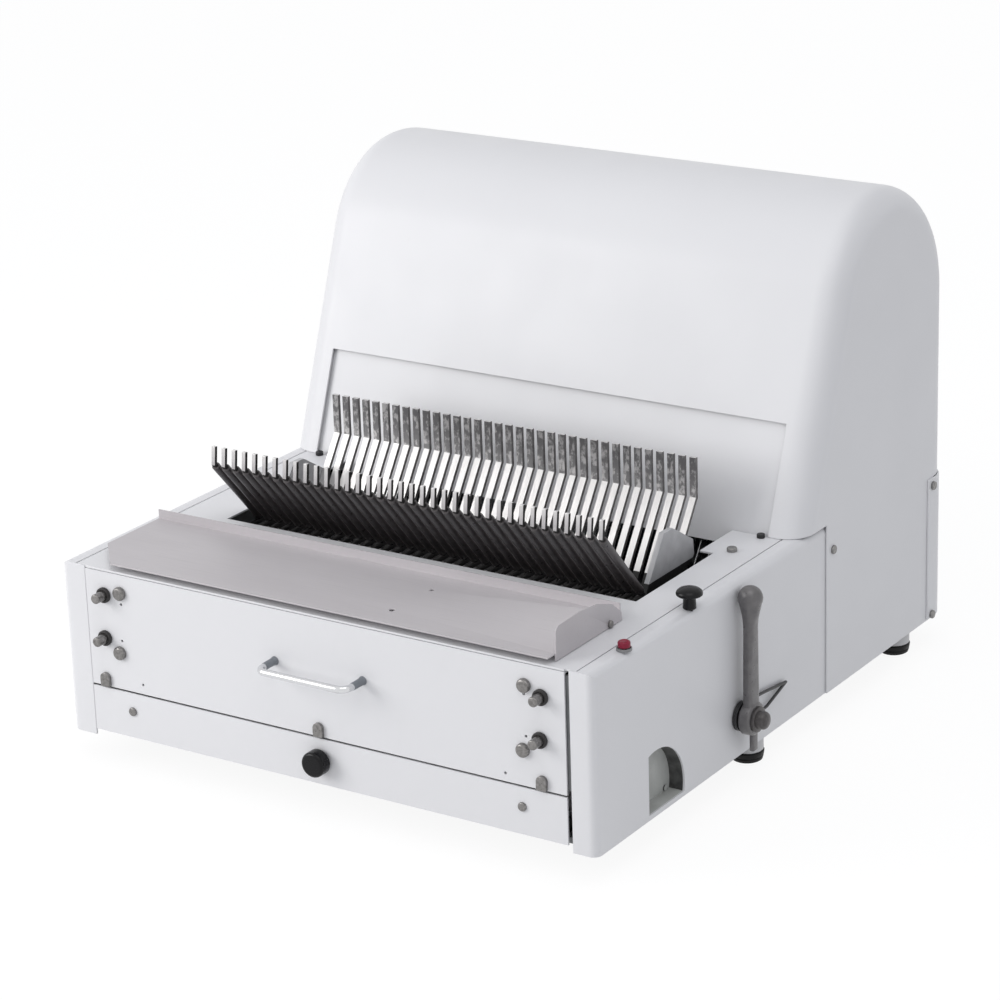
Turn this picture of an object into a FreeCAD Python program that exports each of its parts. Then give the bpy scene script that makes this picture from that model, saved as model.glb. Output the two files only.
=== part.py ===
import FreeCAD, Part
import math
import os

# Countertop bread slicer with an operating lever. Millimetres, +Z up, -Y is the side the operator faces.
# Everything is drawn about the machine's middle plane and moved sideways once, at export.
V = FreeCAD.Vector

# --- Overall ------------------------------------------------------------------
half_depth = 358.0          # front face to machine centre
cover_half = 310.0          # machine centre to the outside of a side cover
deck_z = 211.6              # top of the deck
hood_top = 523.0
cover_bottom_z = 30.0
front_bottom_z = 36.5       # lower edge of the drawer's front
sheet = 2.0                 # sheet metal of covers, deck and hood
gap = 0.6                   # gap between pieces that only lie side by side
touch = 0.05                # clearance between pieces that lie on each other
edge_round = 9.0            # rounded edges of the side covers

# --- Hood ---------------------------------------------------------------------
hood_lap = 0.3              # the hood's sides lap over the side covers with this clearance
hood_half = cover_half + hood_lap + sheet
hood_front_y = 28.5         # foot of the sloping front, at deck level
hood_lean = 20.3            # degrees back from vertical
hood_front_r = 118.6
hood_rear_y = 356.0
crown_flat = 2.7            # level strip between the front round and the rear round
hood_slope = math.radians(hood_lean)
slope_top_y = hood_front_y + (hood_top - hood_front_r - deck_z) * math.tan(hood_slope)
crown_front_y = slope_top_y + hood_front_r / math.cos(hood_slope)
hood_rear_r = hood_rear_y - crown_front_y - crown_flat
hood_edge_r = 28.5
hood_side_front_y = 86.0    # the hood sides reach down the frame behind this line
cover_tuck = 18.0           # the side covers run on behind the hood sides by this much
window_half = hood_half - 36.3
window_top_z = 318.6
back_panel_top_z = 190.0
back_flange_y = hood_rear_y - 45.0
back_opening_y = back_flange_y + 14.0
gland_x = -200.0
gland_z = 80.0
gland_r = 8.0
gland_bore_r = 4.5

# --- Deck, covers and front ---------------------------------------------------
deck_half = cover_half - 19.5
deck_gap = 1.5              # joint between the deck and a side cover
deck_end_y = hood_front_y + 2.5
panel_half = cover_half - 31.0
right_joint = 5.0           # wider joint between the front panel and the right cover
panel_bottom_z = 86.6
seam = 2.2                  # joint between the front panel and the drawer
panel_lip = 13.0            # depth of the fold at the panel's top
base_t = 3.0                # base pan and the side frames' feet
base_top = cover_bottom_z + base_t
frame_plate = 4.0           # side frame plates
frame_outer = cover_half - 22.0
frame_inner = frame_outer - frame_plate
frame_front_y = -half_depth + sheet + 1.0
base_setback = 14.0         # base pan and feet of the side frames behind the front of the frames
frame_inset = 18.0          # side frame behind the hood's skin
frame_fold = 24.0           # width of the side frames' feet and front folds
tie_t = 4.0
tie_w = 22.0

# --- Arched recess in the right cover -----------------------------------------
recess_y = -half_depth + 108.0
recess_z = 45.0
recess_r = 52.0
recess_front_y = -half_depth + 94.0
recess_bottom_z = 35.0
recess_depth = 15.0
recess_wall = 1.5
recess_rivet = (42.5, -7.0, 3.0)    # behind and above the arch centre, and its radius

# --- Fixings of the front panel: (in from the panel's edge, height) -----------
left_studs = ((23.0, 185.0), (21.0, 139.0))
right_studs = ((25.0, 180.0), (27.0, 137.0))
left_bolts = ((43.0, 190.0), (38.5, 126.0))
right_bolts = ((43.0, 188.0), (46.0, 123.0))
left_holes = ((43.0, 178.0), (41.0, 139.0), (64.0, 96.5))
right_holes = ((44.0, 179.0), (43.0, 137.0), (67.0, 95.0))
stud_r = 5.0
stud_out = 16.0
collar_r = 8.0
collar_out = 4.0
bolt_head_r = 7.0
bolt_head_out = 5.0
bolt_r = 4.0
bolt_in = 12.0              # length of a shank behind the panel
pin_hole_r = 1.5
seam_pin_in = (18.0, panel_half, 2 * panel_half - 26.0)     # from the panel's left edge
seam_pin_w = 11.0
seam_pin_h = 15.0
seam_pin_out = 4.0
seam_pin_shank_r = 3.0

# --- Handle -------------------------------------------------------------------
handle_half = 51.5
handle_x = 2.5
handle_z = 155.5
handle_out = 29.0
handle_bend = 10.0
wire_r = 3.5

# --- Tray ---------------------------------------------------------------------
tray_z = deck_z + 8.0
tray_t = 1.5
tray_left = -cover_half + 25.0
tray_right = cover_half - 48.0
tray_depth = 128.0
tray_rear_y = -half_depth + tray_depth
tray_corner = (44.0, 39.0)  # cut off the left front corner, in y and in x
tray_lip = 9.5
# The end guide's outline: behind the front edge, above the deck.
guide_outline = ((12.0, 0.7), (12.5, 30.0), (17.0, 34.0), (54.0, 34.8), (85.0, 31.2), (112.0, 21.8),
                 (127.0, 9.0), (128.0, 0.7))
tray_hole_r = 3.0
tray_screw_back = 106.0
tray_screw_z = deck_z + 4.2
tray_screw_r = 1.7

# --- Cradle: lever, shaft, arms and both combs --------------------------------
cradle_y = -92.0
cradle_z = 73.0
cradle_shaft_r = 9.0
running_gap = 0.08          # radial, shafts in their bushes
bush_wall = 4.0
bush_flange = 2.0
rear_fingers = 35
front_fingers = 37
end_room = 94.1             # from a cover's outside to the middle of the last rear finger
finger_pitch = (cover_half - end_room) / ((rear_fingers - 1) / 2.0)
finger_w = 7.0
front_finger_w = 4.6
finger_t = 4.0
sleeve_r = 4.9
sleeve_start = 8.0          # bare steel at the foot of a sleeve, and at its top
sleeve_end = 3.0
root_bar_y = -150.0
root_bar_z = 188.0
root_bar_size = 13.0
rear_comb_half = (rear_fingers - 1) / 2.0 * finger_pitch + finger_w / 2
front_comb_half = (front_fingers - 1) / 2.0 * finger_pitch + front_finger_w / 2
arm_inner = rear_comb_half + 0.4
arm_plate = 5.6
arm_hub_r = 15.0
arm_hub_in = 10.0
arm_hub_out = 2.0

# Chains of (y, z) points, measured from the cradle's axis: the middle of each finger's strip.
rear_foot = (16.0, 90.0)
rear_bend = (80.0, 184.0)
rear_tip = (80.0, 226.0)
front_foot = (-41.3, 124.0)
front_bend = (-115.0, 206.5)
front_tip = (-113.0, 225.0)
# Outline of an end arm, from the same axis.
arm_outline = ((-14.0, 7.0), (-64.4, 99.0), (-64.4, 121.5), (-30.0, 121.5), (5.0, 172.0), (23.0, 171.5),
               (61.0, 148.0), (63.0, 132.0), (58.0, 127.0), (8.0, 103.0), (-4.0, 77.0), (-2.0, 11.0))

# --- Openings in the deck -----------------------------------------------------
slot_clear = 1.0
slot_half = (front_fingers - 1) / 2.0 * finger_pitch + sleeve_r + slot_clear
well_left = -slot_half - 1.5
well_right = deck_half - 40.5
well_front_y = cradle_y - 90.0
well_rear_y = cradle_y + 58.0
deck_bolt = (27.0, -21.0)   # in from the deck's edge, and y
deck_bolt_r = 5.2
foot_bolt = (20.5, -5.0)    # in from the deck's edge, and before its rear end
foot_bolt_r = 4.2
deck_bolt_shank_r = 2.5

# --- Lever --------------------------------------------------------------------
lever_x = cover_half + 13.5
lever_hub_half = 6.0
lever_hub_r = 17.0
lever_arm_t = 10.0
lever_arm_w = 19.0
lever_bulb_r = 12.4
lever_bulb_up = 125.0       # above the cradle's axis
lever_neck_up = 99.0
lever_tail_t = 5.0
lever_tail_w = 9.0
lever_tail_down = 36.0
lever_reach_x = lever_x + 19.5      # outermost point, the hub nut
hub_washer_r = 13.0
hub_washer_t = 3.5
hub_nut_r = 9.0
hub_stub_r = 6.0
catch_ring_r = 15.0
catch_ring_t = 4.4
catch_gap = 1.0
catch_wire_r = 1.6
# The catch's wire, from the cradle's axis: ring, upper run, point, lower run, ring.
catch_line = ((7.0, 11.5), (40.0, 9.0), (89.0, 3.0), (50.0, -8.5), (8.0, -11.0))

# --- Blades -------------------------------------------------------------------
blade_count = 34
blade_w = 12.7
blade_t = 0.6
blade_lean = 35.0           # blade plane, degrees back from vertical
blade_plane_y = 40.0        # where the cutting edges cross the level blade_plane_z
blade_plane_z = 201.0
side_bar_inner = slot_half + 3.5
side_bar_t = 8.0
side_bar_outer = side_bar_inner + side_bar_t
outer_low = -152.5          # rails of the front frame, along the blade plane
blade_room = 45.13          # from the top of the front frame to the top of the hood
outer_high = (hood_top - blade_room - blade_plane_z) / math.cos(math.radians(blade_lean))
inner_low = -128.0          # rails of the rear frame
inner_high = outer_high - 26.0
rail_w = 10.0
frame_gap = 1.8             # between the two frames, across the plane
frame_skin = 0.5            # the frame's rails stand this far inside the blades' width
hook_h = 7.0                # hooks of the rear blades
guide_x = frame_inner - 22.0
guide_r = 4.0
guide_us = (-40.0, outer_high - 70.0)
guide_vs = (blade_w / 2, blade_w * 1.5 + frame_gap)
guide_block_h = 26.0

# --- Guard --------------------------------------------------------------------
guard_recess = 5.0
guard_half = window_half + 4.0
guard_low = -13.0           # along the slope from deck level
guard_high = 117.0
guard_lift = 238.0
guard_pin_r = 3.0
guard_pin_us = (12.0, 72.0)
guard_pin_v = -5.0
guard_ear_t = 3.0
rail_clear = 0.3            # between a pin and its slot

# --- Drive --------------------------------------------------------------------
crank_v = 85.0              # crank shaft behind the blade plane
crank_u = outer_high - 217.0        # and up along it
crank_shaft_r = 9.0
crank_disc_r = 24.0
crank_throw = 12.0
crank_pin_r = 5.0
disc_t = 8.0
disc_x = guide_x
rod_t = 6.0
rod_eye_r = 30.0
rod_pin_r = 4.0
rod_a_u = outer_high - 112.0
rod_b_u = outer_high - 52.0
rod_a_x = guide_x - 8.0
rod_b_x = guide_x + 10.0
pulley_x = -guide_x + 39.0
pulley_w = 13.0
motor_r = 60.0
motor_back_room = 9.0
motor_lift = 19.0
motor_y = hood_rear_y - sheet - motor_back_room - motor_r
motor_z = base_top + motor_lift + motor_r
motor_left = pulley_x + 43.0
motor_right = motor_left + 240.0
motor_shaft_r = 7.0
motor_pulley_r = 22.0
drive_pulley_r = 44.0
belt_t = 5.0
belt_clear = 0.3
saddle_xs = (motor_left + 30.0, motor_right - 40.0)
saddle_t = 6.0

# --- Drawer -------------------------------------------------------------------
pan_inset = 22.0
pan_floor_z = 43.0
pan_wall_z = 51.0
pan_t = 1.5
pan_rear_y = 70.0
runner_clear = 0.4
drawer_screw_x = panel_half - 49.0
drawer_screw_z = 65.0
drawer_screw_r = 4.5
drawer_knob_z = 62.0
drawer_knob_r = 13.0
drawer_knob_out = 16.0

# --- Controls and feet --------------------------------------------------------
knob_x = cover_half - 6.5
knob_y = -half_depth + 184.5
knob_r = 13.0
knob_stem_r = 6.5
knob_cap_z = deck_z + 13.4
knob_cap_h = 8.5
knob_plunger_r = 2.8
knob_bush_wall = 1.3
button_x = cover_half - 7.0
button_y = -half_depth + 66.0
button_r = 6.0
button_stem_r = 2.0
button_neck_r = 3.2
button_ring_r = 7.4
button_ring_h = 3.0
button_top = 9.5
foot_r = 17.5
foot_x = cover_half - 24.0
foot_front_y = cradle_y + 58.0
foot_rear_y = hood_rear_y - 68.0
rubber_h = 11.0
screw_r = 4.6
screw_out = 2.6
back_screw_out = 3.3
hood_screw = (98.8, 182.5)  # y and z

# The frame's origin is under the middle of the whole box, which the lever and the handle pull off centre.
flange_gap = 0.1
gland_out = 8.0
side_reach = hood_half + sheet + flange_gap + back_screw_out
handle_reach = half_depth + handle_out + wire_r
rear_reach = hood_rear_y + sheet + flange_gap + gland_out
shift_x = -(lever_reach_x - side_reach) / 2.0
shift_y = (handle_reach - rear_reach) / 2.0
far = 1000.0                # longer than anything, for cutting tools


# --- Shapes -------------------------------------------------------------------
def box(x0, x1, y0, y1, z0, z1):
    return Part.makeBox(x1 - x0, y1 - y0, z1 - z0, V(x0, y0, z0))


def rod(x0, x1, y, z, r):
    """A round bar along X."""
    return Part.makeCylinder(r, x1 - x0, V(x0, y, z), V(1, 0, 0))


def post(x, y, z0, z1, r):
    """A round bar along Z."""
    return Part.makeCylinder(r, z1 - z0, V(x, y, z0), V(0, 0, 1))


def stud(x, z, y0, y1, r):
    """A round bar along Y."""
    return Part.makeCylinder(r, y1 - y0, V(x, y0, z), V(0, 1, 0))


def plate_x(points, x0, x1):
    """A flat plate: a polygon of (y, z) points, thick along X."""
    loop = [V(x0, y, z) for y, z in points]
    loop.append(loop[0])
    return Part.Face(Part.makePolygon(loop)).extrude(V(x1 - x0, 0, 0))


def mirrored(solid):
    return solid.mirror(V(0, 0, 0), V(1, 0, 0))


def both_sides(solid):
    """The solid and its mirror image in the middle plane."""
    return [solid, mirrored(solid)]


def cut(solid, tools):
    return solid.cut(Part.makeCompound(tools))


def round_edges(solid, radius, wanted):
    edges = [e for e in solid.Edges if wanted(e)]
    return solid.makeFillet(radius, edges)


def from_axis(points):
    """(y, z) points given from the cradle's axis."""
    return [(cradle_y + y, cradle_z + z) for y, z in points]


def slide_dir():
    """(y, z) of a step up along the blade plane."""
    lean = math.radians(blade_lean)
    return (math.sin(lean), math.cos(lean))


def on_slide(u, v):
    """(y, z) of a point u up along the blade plane and v behind it."""
    s, c = slide_dir()
    return (blade_plane_y + u * s + v * c, blade_plane_z + u * c - v * s)


def slide_bar(x0, x1, u0, u1, v0, v1):
    """A square-cornered bar lying along the blade plane."""
    corners = [on_slide(u0, v0), on_slide(u1, v0), on_slide(u1, v1), on_slide(u0, v1)]
    return plate_x(corners, x0, x1)


def slide_rod(x, u0, u1, v, r):
    """A round rod lying along the blade plane."""
    y, z = on_slide(u0, v)
    s, c = slide_dir()
    return Part.makeCylinder(r, u1 - u0, V(x, y, z), V(0, s, c))


def on_hood(s, depth):
    """(y, z) of a point s up the hood's sloping front and depth behind its face."""
    lean = math.radians(hood_lean)
    y = hood_front_y + s * math.sin(lean) + depth * math.cos(lean)
    z = deck_z + s * math.cos(lean) - depth * math.sin(lean)
    return (y, z)


# --- Hood ---------------------------------------------------------------------
def hood_block(inset, half_width):
    """The solid inside the hood's skin, inset from its outside, with its long edges rounded."""
    front_r = hood_front_r - inset
    rear_r = hood_rear_r - inset
    front_cz = hood_top - hood_front_r
    front_cy = crown_front_y
    rear_cy = hood_rear_y - hood_rear_r
    rear_cz = hood_top - hood_rear_r
    bottom = cover_bottom_z - inset

    def on_arc(cy, cz, r, degrees):
        a = math.radians(degrees)
        return V(-half_width, cy + r * math.cos(a), cz + r * math.sin(a))

    low_y, low_z = on_hood(0, inset)
    low_y -= (low_z - deck_z) * math.tan(hood_slope)
    low = V(-half_width, low_y, deck_z)
    tangent = on_arc(front_cy, front_cz, front_r, 180 - hood_lean)
    mid_front = on_arc(front_cy, front_cz, front_r, 135 - hood_lean / 2)
    crown_front = on_arc(front_cy, front_cz, front_r, 90)
    crown_rear = on_arc(rear_cy, rear_cz, rear_r, 90)
    mid_rear = on_arc(rear_cy, rear_cz, rear_r, 45)
    rear_high = on_arc(rear_cy, rear_cz, rear_r, 0)
    rear_low = V(-half_width, hood_rear_y - inset, bottom)
    side_low = V(-half_width, hood_side_front_y, bottom)
    side_high = V(-half_width, hood_side_front_y, deck_z)
    wire = Part.Wire([
        Part.makeLine(low, tangent),
        Part.Arc(tangent, mid_front, crown_front).toShape(),
        Part.makeLine(crown_front, crown_rear),
        Part.Arc(crown_rear, mid_rear, rear_high).toShape(),
        Part.makeLine(rear_high, rear_low),
        Part.makeLine(rear_low, side_low),
        Part.makeLine(side_low, side_high),
        Part.makeLine(side_high, low),
    ])
    block = Part.Face(wire).extrude(V(2 * half_width, 0, 0))
    tiny = 0.01

    def on_wrap(edge):
        """The long edges over the front, the crown and the back, on both sides."""
        b = edge.BoundBox
        at_side = b.XLength < tiny and abs(abs(b.XMin) - half_width) < tiny
        level_low = b.ZLength < tiny and b.ZMax < hood_top - hood_front_r
        upright_front = b.YLength < tiny and b.YMax < hood_side_front_y + tiny
        return at_side and not level_low and not upright_front

    return round_edges(block, hood_edge_r - inset, on_wrap)


def make_hood():
    skin = hood_block(0, hood_half).cut(hood_block(sheet, hood_half - sheet))
    reach = hood_half + 1
    below = box(-reach, reach, 0, hood_rear_y + 1, 0, cover_bottom_z + 0.01)
    window_back = hood_front_y + (window_top_z - deck_z)
    window = plate_x([(0, deck_z - sheet), (0, window_top_z), (window_back, window_top_z),
                      (window_back, deck_z - sheet)], -window_half, window_half)
    rear = box(-reach, reach, back_opening_y, hood_rear_y + 1, 0, back_panel_top_z)
    foot = box(-reach, reach, 0, hood_side_front_y, 0, deck_z + hood_lap)
    return cut(skin, [below, window, rear, foot]).Solids[0]


def make_back_panel():
    outer = hood_block(-sheet - flange_gap, hood_half + sheet + flange_gap)
    skin = outer.cut(hood_block(-flange_gap, hood_half + flange_gap))
    reach = hood_half + 2 * sheet
    keep = box(-reach, reach, back_flange_y, hood_rear_y + 2 * sheet, cover_bottom_z + 1, back_panel_top_z)
    panel = skin.common(keep).Solids[0]
    return panel.cut(stud(gland_x, gland_z, hood_rear_y - 1, hood_rear_y + 2 * sheet, gland_r))


# --- Frame and covers ---------------------------------------------------------
def make_side_frame(side):
    """A plate with a foot and a front fold; its upper part follows the hood inside the skin."""
    top = deck_z - sheet - gap
    rear_y = hood_rear_y - frame_inset
    lower = box(frame_inner, frame_outer, frame_front_y, rear_y, base_top, top)
    slab = box(frame_inner, frame_outer, 0, hood_rear_y, top - 1, hood_top)
    lobe = hood_block(frame_inset, hood_half - frame_inset).common(slab)
    crank_y, crank_z = on_slide(crank_u, crank_v)
    bore = running_gap + bush_wall
    holes = [
        rod(frame_inner - 1, frame_outer + 1, cradle_y, cradle_z, cradle_shaft_r + bore),
        rod(frame_inner - 1, frame_outer + 1, crank_y, crank_z, crank_shaft_r + bore),
    ]
    foot_y = frame_front_y + base_setback
    foot = box(frame_outer - frame_fold, frame_inner, foot_y, rear_y, base_top, base_top + base_t)
    fold = box(frame_outer - frame_fold, frame_inner, frame_front_y, frame_front_y + base_t,
               panel_bottom_z + frame_plate, top - 2 * sheet)
    solid = cut(lower.fuse([lobe, foot, fold]).removeSplitter(), holes)
    return solid if side > 0 else mirrored(solid)


def make_base_pan():
    front_y = frame_front_y + base_setback
    rear_y = hood_rear_y - frame_inset
    return box(-frame_outer, frame_outer, front_y, rear_y, cover_bottom_z, base_top)


def make_cross_ties():
    """Three flat bars that hold the side frames apart."""
    rear_y = hood_rear_y - frame_inset
    front_y = -half_depth + panel_lip + tie_t
    front_top = box(-frame_inner, frame_inner, front_y, front_y + tie_t, deck_z - tie_w - 6, deck_z - 6)
    rear_low = box(-frame_inner, frame_inner, rear_y - 2 * tie_t, rear_y - tie_t,
                   base_top + base_t + 4, base_top + base_t + 4 + tie_w)
    high_z = hood_top - hood_rear_r
    rear_high = box(-frame_inner, frame_inner, rear_y - 3 * tie_t, rear_y - 2 * tie_t, high_z - tie_w, high_z)
    return [front_top, rear_low, rear_high]


def recess_shape(x0, x1, grow):
    """The arched opening, larger all round by grow: a disc cut off straight in front and below."""
    disc = rod(x0, x1, recess_y, recess_z, recess_r + grow)
    reach = recess_r + grow + 1
    keep = box(x0, x1, recess_front_y - grow, recess_y + reach, recess_bottom_z - grow, recess_z + reach)
    return disc.common(keep)


def make_cover(side):
    top = deck_z
    end_y = hood_side_front_y + cover_tuck
    joint = right_joint if side > 0 else gap
    outer = box(panel_half + joint, cover_half, -half_depth, end_y, cover_bottom_z, top)
    tiny = 0.01

    def edge_at(x, y):
        def wanted(edge):
            b = edge.BoundBox
            along_top = b.XMin > x - tiny and b.ZMin > top - sheet - tiny and b.YLength > 1
            along_front = b.XMin > x - tiny and b.YMax < y + tiny
            return along_top or along_front
        return wanted

    outer = round_edges(outer, edge_round, edge_at(cover_half, -half_depth))
    inner = box(panel_half - 1, cover_half - sheet, -half_depth + sheet, end_y + 1, 0, top - sheet)
    inner = round_edges(inner, edge_round - sheet, edge_at(cover_half - sheet, -half_depth + sheet))
    over_deck = box(0, deck_half + deck_gap, -half_depth + sheet, far, top - sheet - 1, top + 1)
    shell = outer.cut(inner).cut(over_deck)
    if side < 0:
        return mirrored(shell)
    inside = cover_half - 2 * sheet
    holes = [
        recess_shape(inside, cover_half + 1, 0),
        rod(inside, cover_half + 1, cradle_y, cradle_z, cradle_shaft_r + 1.5),
        post(knob_x, knob_y, top - edge_round, top + 1, knob_plunger_r + gap),
        post(button_x, button_y, top - edge_round, top + 1, button_neck_r + touch),
    ]
    return cut(shell, holes)


def make_recess_liner():
    """A pressed pocket behind the arched opening in the right cover."""
    face = cover_half - sheet - flange_gap
    plate = cover_half - sheet - recess_depth
    pocket = recess_shape(plate - recess_wall, face, recess_wall).cut(recess_shape(plate, face + 1, 0))
    back, up, r = recess_rivet
    rivet = rod(plate - recess_wall / 2, plate + 1.5, recess_y + back, recess_z + up, r)
    return pocket.fuse(rivet).removeSplitter()


# --- Front panel --------------------------------------------------------------
def on_panel(left, right):
    """(x, z) of fixings that are given from the panel's two edges."""
    return [(-panel_half + d, z) for d, z in left] + [(panel_half - d, z) for d, z in right]


def seam_pin_xs():
    return [-panel_half + d for d in seam_pin_in]


def through_panel(x, z, r):
    return stud(x, z, -half_depth - 1, -half_depth + sheet + 1, r)


def make_front_panel():
    high = deck_z - sheet - gap
    panel = box(-panel_half, panel_half, -half_depth, -half_depth + sheet, panel_bottom_z, high)
    lip = box(-panel_half, panel_half, -half_depth, -half_depth + panel_lip, high - sheet, high)
    holes = [through_panel(x, z, stud_r + touch) for x, z in on_panel(left_studs, right_studs)]
    holes += [through_panel(x, z, bolt_r + 0.2) for x, z in on_panel(left_bolts, right_bolts)]
    holes += [through_panel(x, z, pin_hole_r) for x, z in on_panel(left_holes, right_holes)]
    pin_z = panel_bottom_z + seam_pin_h / 2
    holes += [through_panel(x, pin_z, seam_pin_shank_r + 0.2) for x in seam_pin_xs()]
    holes += [through_panel(handle_x + side * handle_half, handle_z, wire_r + 0.3) for side in (-1, 1)]
    return cut(panel.fuse(lip).removeSplitter(), holes)


def make_panel_bolts():
    """Four domed bolts and four long studs with rounded ends."""
    bolts = []
    face = -half_depth
    for x, z in on_panel(left_bolts, right_bolts):
        head = stud(x, z, face - bolt_head_out, face, bolt_head_r)
        head = round_edges(head, bolt_head_out / 2, lambda e: e.BoundBox.YMax < face - bolt_head_out + 0.1)
        bolts.append(head.fuse(stud(x, z, face, face + bolt_in, bolt_r)).removeSplitter())
    for x, z in on_panel(left_studs, right_studs):
        bar = stud(x, z, face - stud_out, face + bolt_in, stud_r)
        bolts.append(round_edges(bar, stud_r / 3, lambda e: e.BoundBox.YMax < face - stud_out + 0.1))
    return bolts


def make_bolt_collars():
    """A rubber ring round the foot of each stud."""
    rings = []
    face = -half_depth - touch
    for x, z in on_panel(left_studs, right_studs):
        ring = stud(x, z, face - collar_out, face, collar_r)
        rings.append(ring.cut(stud(x, z, face - collar_out - 1, face + 1, stud_r + touch)))
    return rings


def make_seam_pins():
    """Upright tabs with a round top that stand on the seam above the drawer."""
    pins = []
    half = seam_pin_w / 2
    face = -half_depth
    for x in seam_pin_xs():
        top = panel_bottom_z + seam_pin_h
        tab = box(x - half, x + half, face - seam_pin_out, face, panel_bottom_z + gap, top - half)
        tab = tab.fuse(stud(x, top - half, face - seam_pin_out, face, half)).removeSplitter()
        shank = stud(x, panel_bottom_z + seam_pin_h / 2, face, face + bolt_in, seam_pin_shank_r)
        pins.append(tab.fuse(shank).removeSplitter())
    return pins


def make_wire_handle():
    r = wire_r
    k = handle_bend * (1 - math.cos(math.radians(45)))
    inner_y = -half_depth + sheet + 3
    out_y = -half_depth - handle_out
    centre = V(handle_x, 0, 0)

    def right(p):
        return V(-p.x, p.y, p.z)

    root = V(-handle_half, inner_y, handle_z)
    corner = V(-handle_half, out_y, handle_z)
    a = corner + V(0, handle_bend, 0)
    mid = corner + V(k, k, 0)
    b = corner + V(handle_bend, 0, 0)
    path = Part.Wire([
        Part.makeLine(root, a),
        Part.Arc(a, mid, b).toShape(),
        Part.makeLine(b, right(b)),
        Part.Arc(right(b), right(mid), right(a)).toShape(),
        Part.makeLine(right(a), right(root)),
    ])
    ring = Part.Wire([Part.makeCircle(r, root, V(0, 1, 0))])
    bar = path.makePipeShell([ring], True, False)
    bar.translate(centre)
    return bar


# --- Deck and tray ------------------------------------------------------------
def deck_bolt_places():
    """(x, y, head radius) of the bolts on the right half of the deck."""
    return [(deck_half - deck_bolt[0], deck_bolt[1], deck_bolt_r),
            (deck_half - foot_bolt[0], deck_end_y + foot_bolt[1], foot_bolt_r)]


def make_deck():
    plate = box(-deck_half, deck_half, -half_depth + gap, deck_end_y, deck_z - sheet, deck_z)
    well = box(well_left, well_right, well_front_y, well_rear_y, 0, far)
    slot = box(-slot_half, slot_half, well_rear_y - 1, deck_end_y + 1, 0, far)
    corner = box(panel_half, deck_half + 1, -half_depth - 1, -half_depth + sheet + gap, 0, far)
    bolts = []
    for x, y, r in deck_bolt_places():
        bolts += both_sides(post(x, y, 0, far, deck_bolt_shank_r + 0.2))
    return cut(plate, [well, slot] + both_sides(corner) + bolts)


def make_deck_bolts():
    bolts = []
    for x, y, r in deck_bolt_places():
        high = deck_z + 4.2
        head = round_edges(post(x, y, deck_z, high, r), r / 4, lambda e: e.BoundBox.ZMin > high - 0.1)
        bolts += both_sides(head.fuse(post(x, y, deck_z - 8, deck_z, deck_bolt_shank_r)).removeSplitter())
    return bolts


def make_tray():
    low = tray_z - tray_t
    cut_y, cut_x = tray_corner
    corners = [(tray_left, -half_depth + cut_y), (tray_left + cut_x, -half_depth), (tray_right, -half_depth),
               (tray_right, tray_rear_y), (tray_left, tray_rear_y)]
    loop = [V(x, y, low) for x, y in corners]
    plate = Part.Face(Part.makePolygon(loop + [loop[0]])).extrude(V(0, 0, tray_t))
    lip = box(tray_left, tray_right, tray_rear_y - tray_t, tray_rear_y, low, tray_z + tray_lip)
    outline = [(-half_depth + y, deck_z + z) for y, z in guide_outline]
    end = plate_x(outline, tray_right, tray_right + tray_t)
    width = tray_right - tray_left
    front = -half_depth + 58
    blocks = [box(tray_left + width * part, tray_left + width * part + 20, front, front + 40,
                  deck_z + touch, low) for part in (0.15, 0.5)]
    screw_y = -half_depth + tray_screw_back
    blocks.append(box(tray_right - 14, tray_right, screw_y - 30, screw_y + 10, deck_z + touch, low))
    holes = [
        post(tray_right - 192, -half_depth + 30, 0, far, tray_hole_r),
        post(tray_right - 188, -half_depth + 91, 0, far, tray_hole_r * 0.75),
        rod(tray_right - 8, tray_right + 3 * tray_t, screw_y, tray_screw_z, tray_screw_r + 0.1),
    ]
    return cut(plate.fuse([lip, end] + blocks).removeSplitter(), holes)


def make_tray_screws():
    face = tray_right + tray_t
    y = -half_depth + tray_screw_back
    head = side_screw(face, y, tray_screw_z, 3.6, screw_out)
    return [head.fuse(rod(tray_right - 7, face, y, tray_screw_z, tray_screw_r)).removeSplitter()]


# --- Cradle -------------------------------------------------------------------
def make_cradle_shaft():
    end = lever_x + lever_hub_half
    shaft = rod(-cover_half + 12, end, cradle_y, cradle_z, cradle_shaft_r)
    return shaft.fuse(rod(end, lever_reach_x - 4, cradle_y, cradle_z, hub_stub_r)).removeSplitter()


def bush(y, z, r):
    """A flanged bush for a shaft of radius r, pressed into a side frame from outside."""
    bore = r + running_gap
    outer = bore + bush_wall
    body = rod(frame_inner - bush_wall, frame_outer, y, z, outer)
    flange = rod(frame_outer, frame_outer + bush_flange, y, z, outer + 3)
    return body.fuse(flange).cut(rod(0, far, y, z, bore)).removeSplitter()


def make_cradle_bearings():
    return both_sides(bush(cradle_y, cradle_z, cradle_shaft_r))


def make_cradle_arms():
    """Cast end arms: a hub on the shaft, a web, and a head that closes the end of the loaf pocket."""
    web = plate_x(from_axis(arm_outline), arm_inner, arm_inner + arm_plate)
    hub = rod(arm_inner - arm_hub_in, arm_inner + arm_plate + arm_hub_out, cradle_y, cradle_z, arm_hub_r)
    arm = web.fuse(hub).cut(rod(0, far, cradle_y, cradle_z, cradle_shaft_r))
    return both_sides(arm.removeSplitter())


def make_root_bar():
    h = root_bar_size / 2
    end = arm_inner - 0.02
    return box(-end, end, root_bar_y - h, root_bar_y + h, root_bar_z - h, root_bar_z + h)


def finger_xs(count):
    return [(i - (count - 1) / 2.0) * finger_pitch for i in range(count)]


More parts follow.
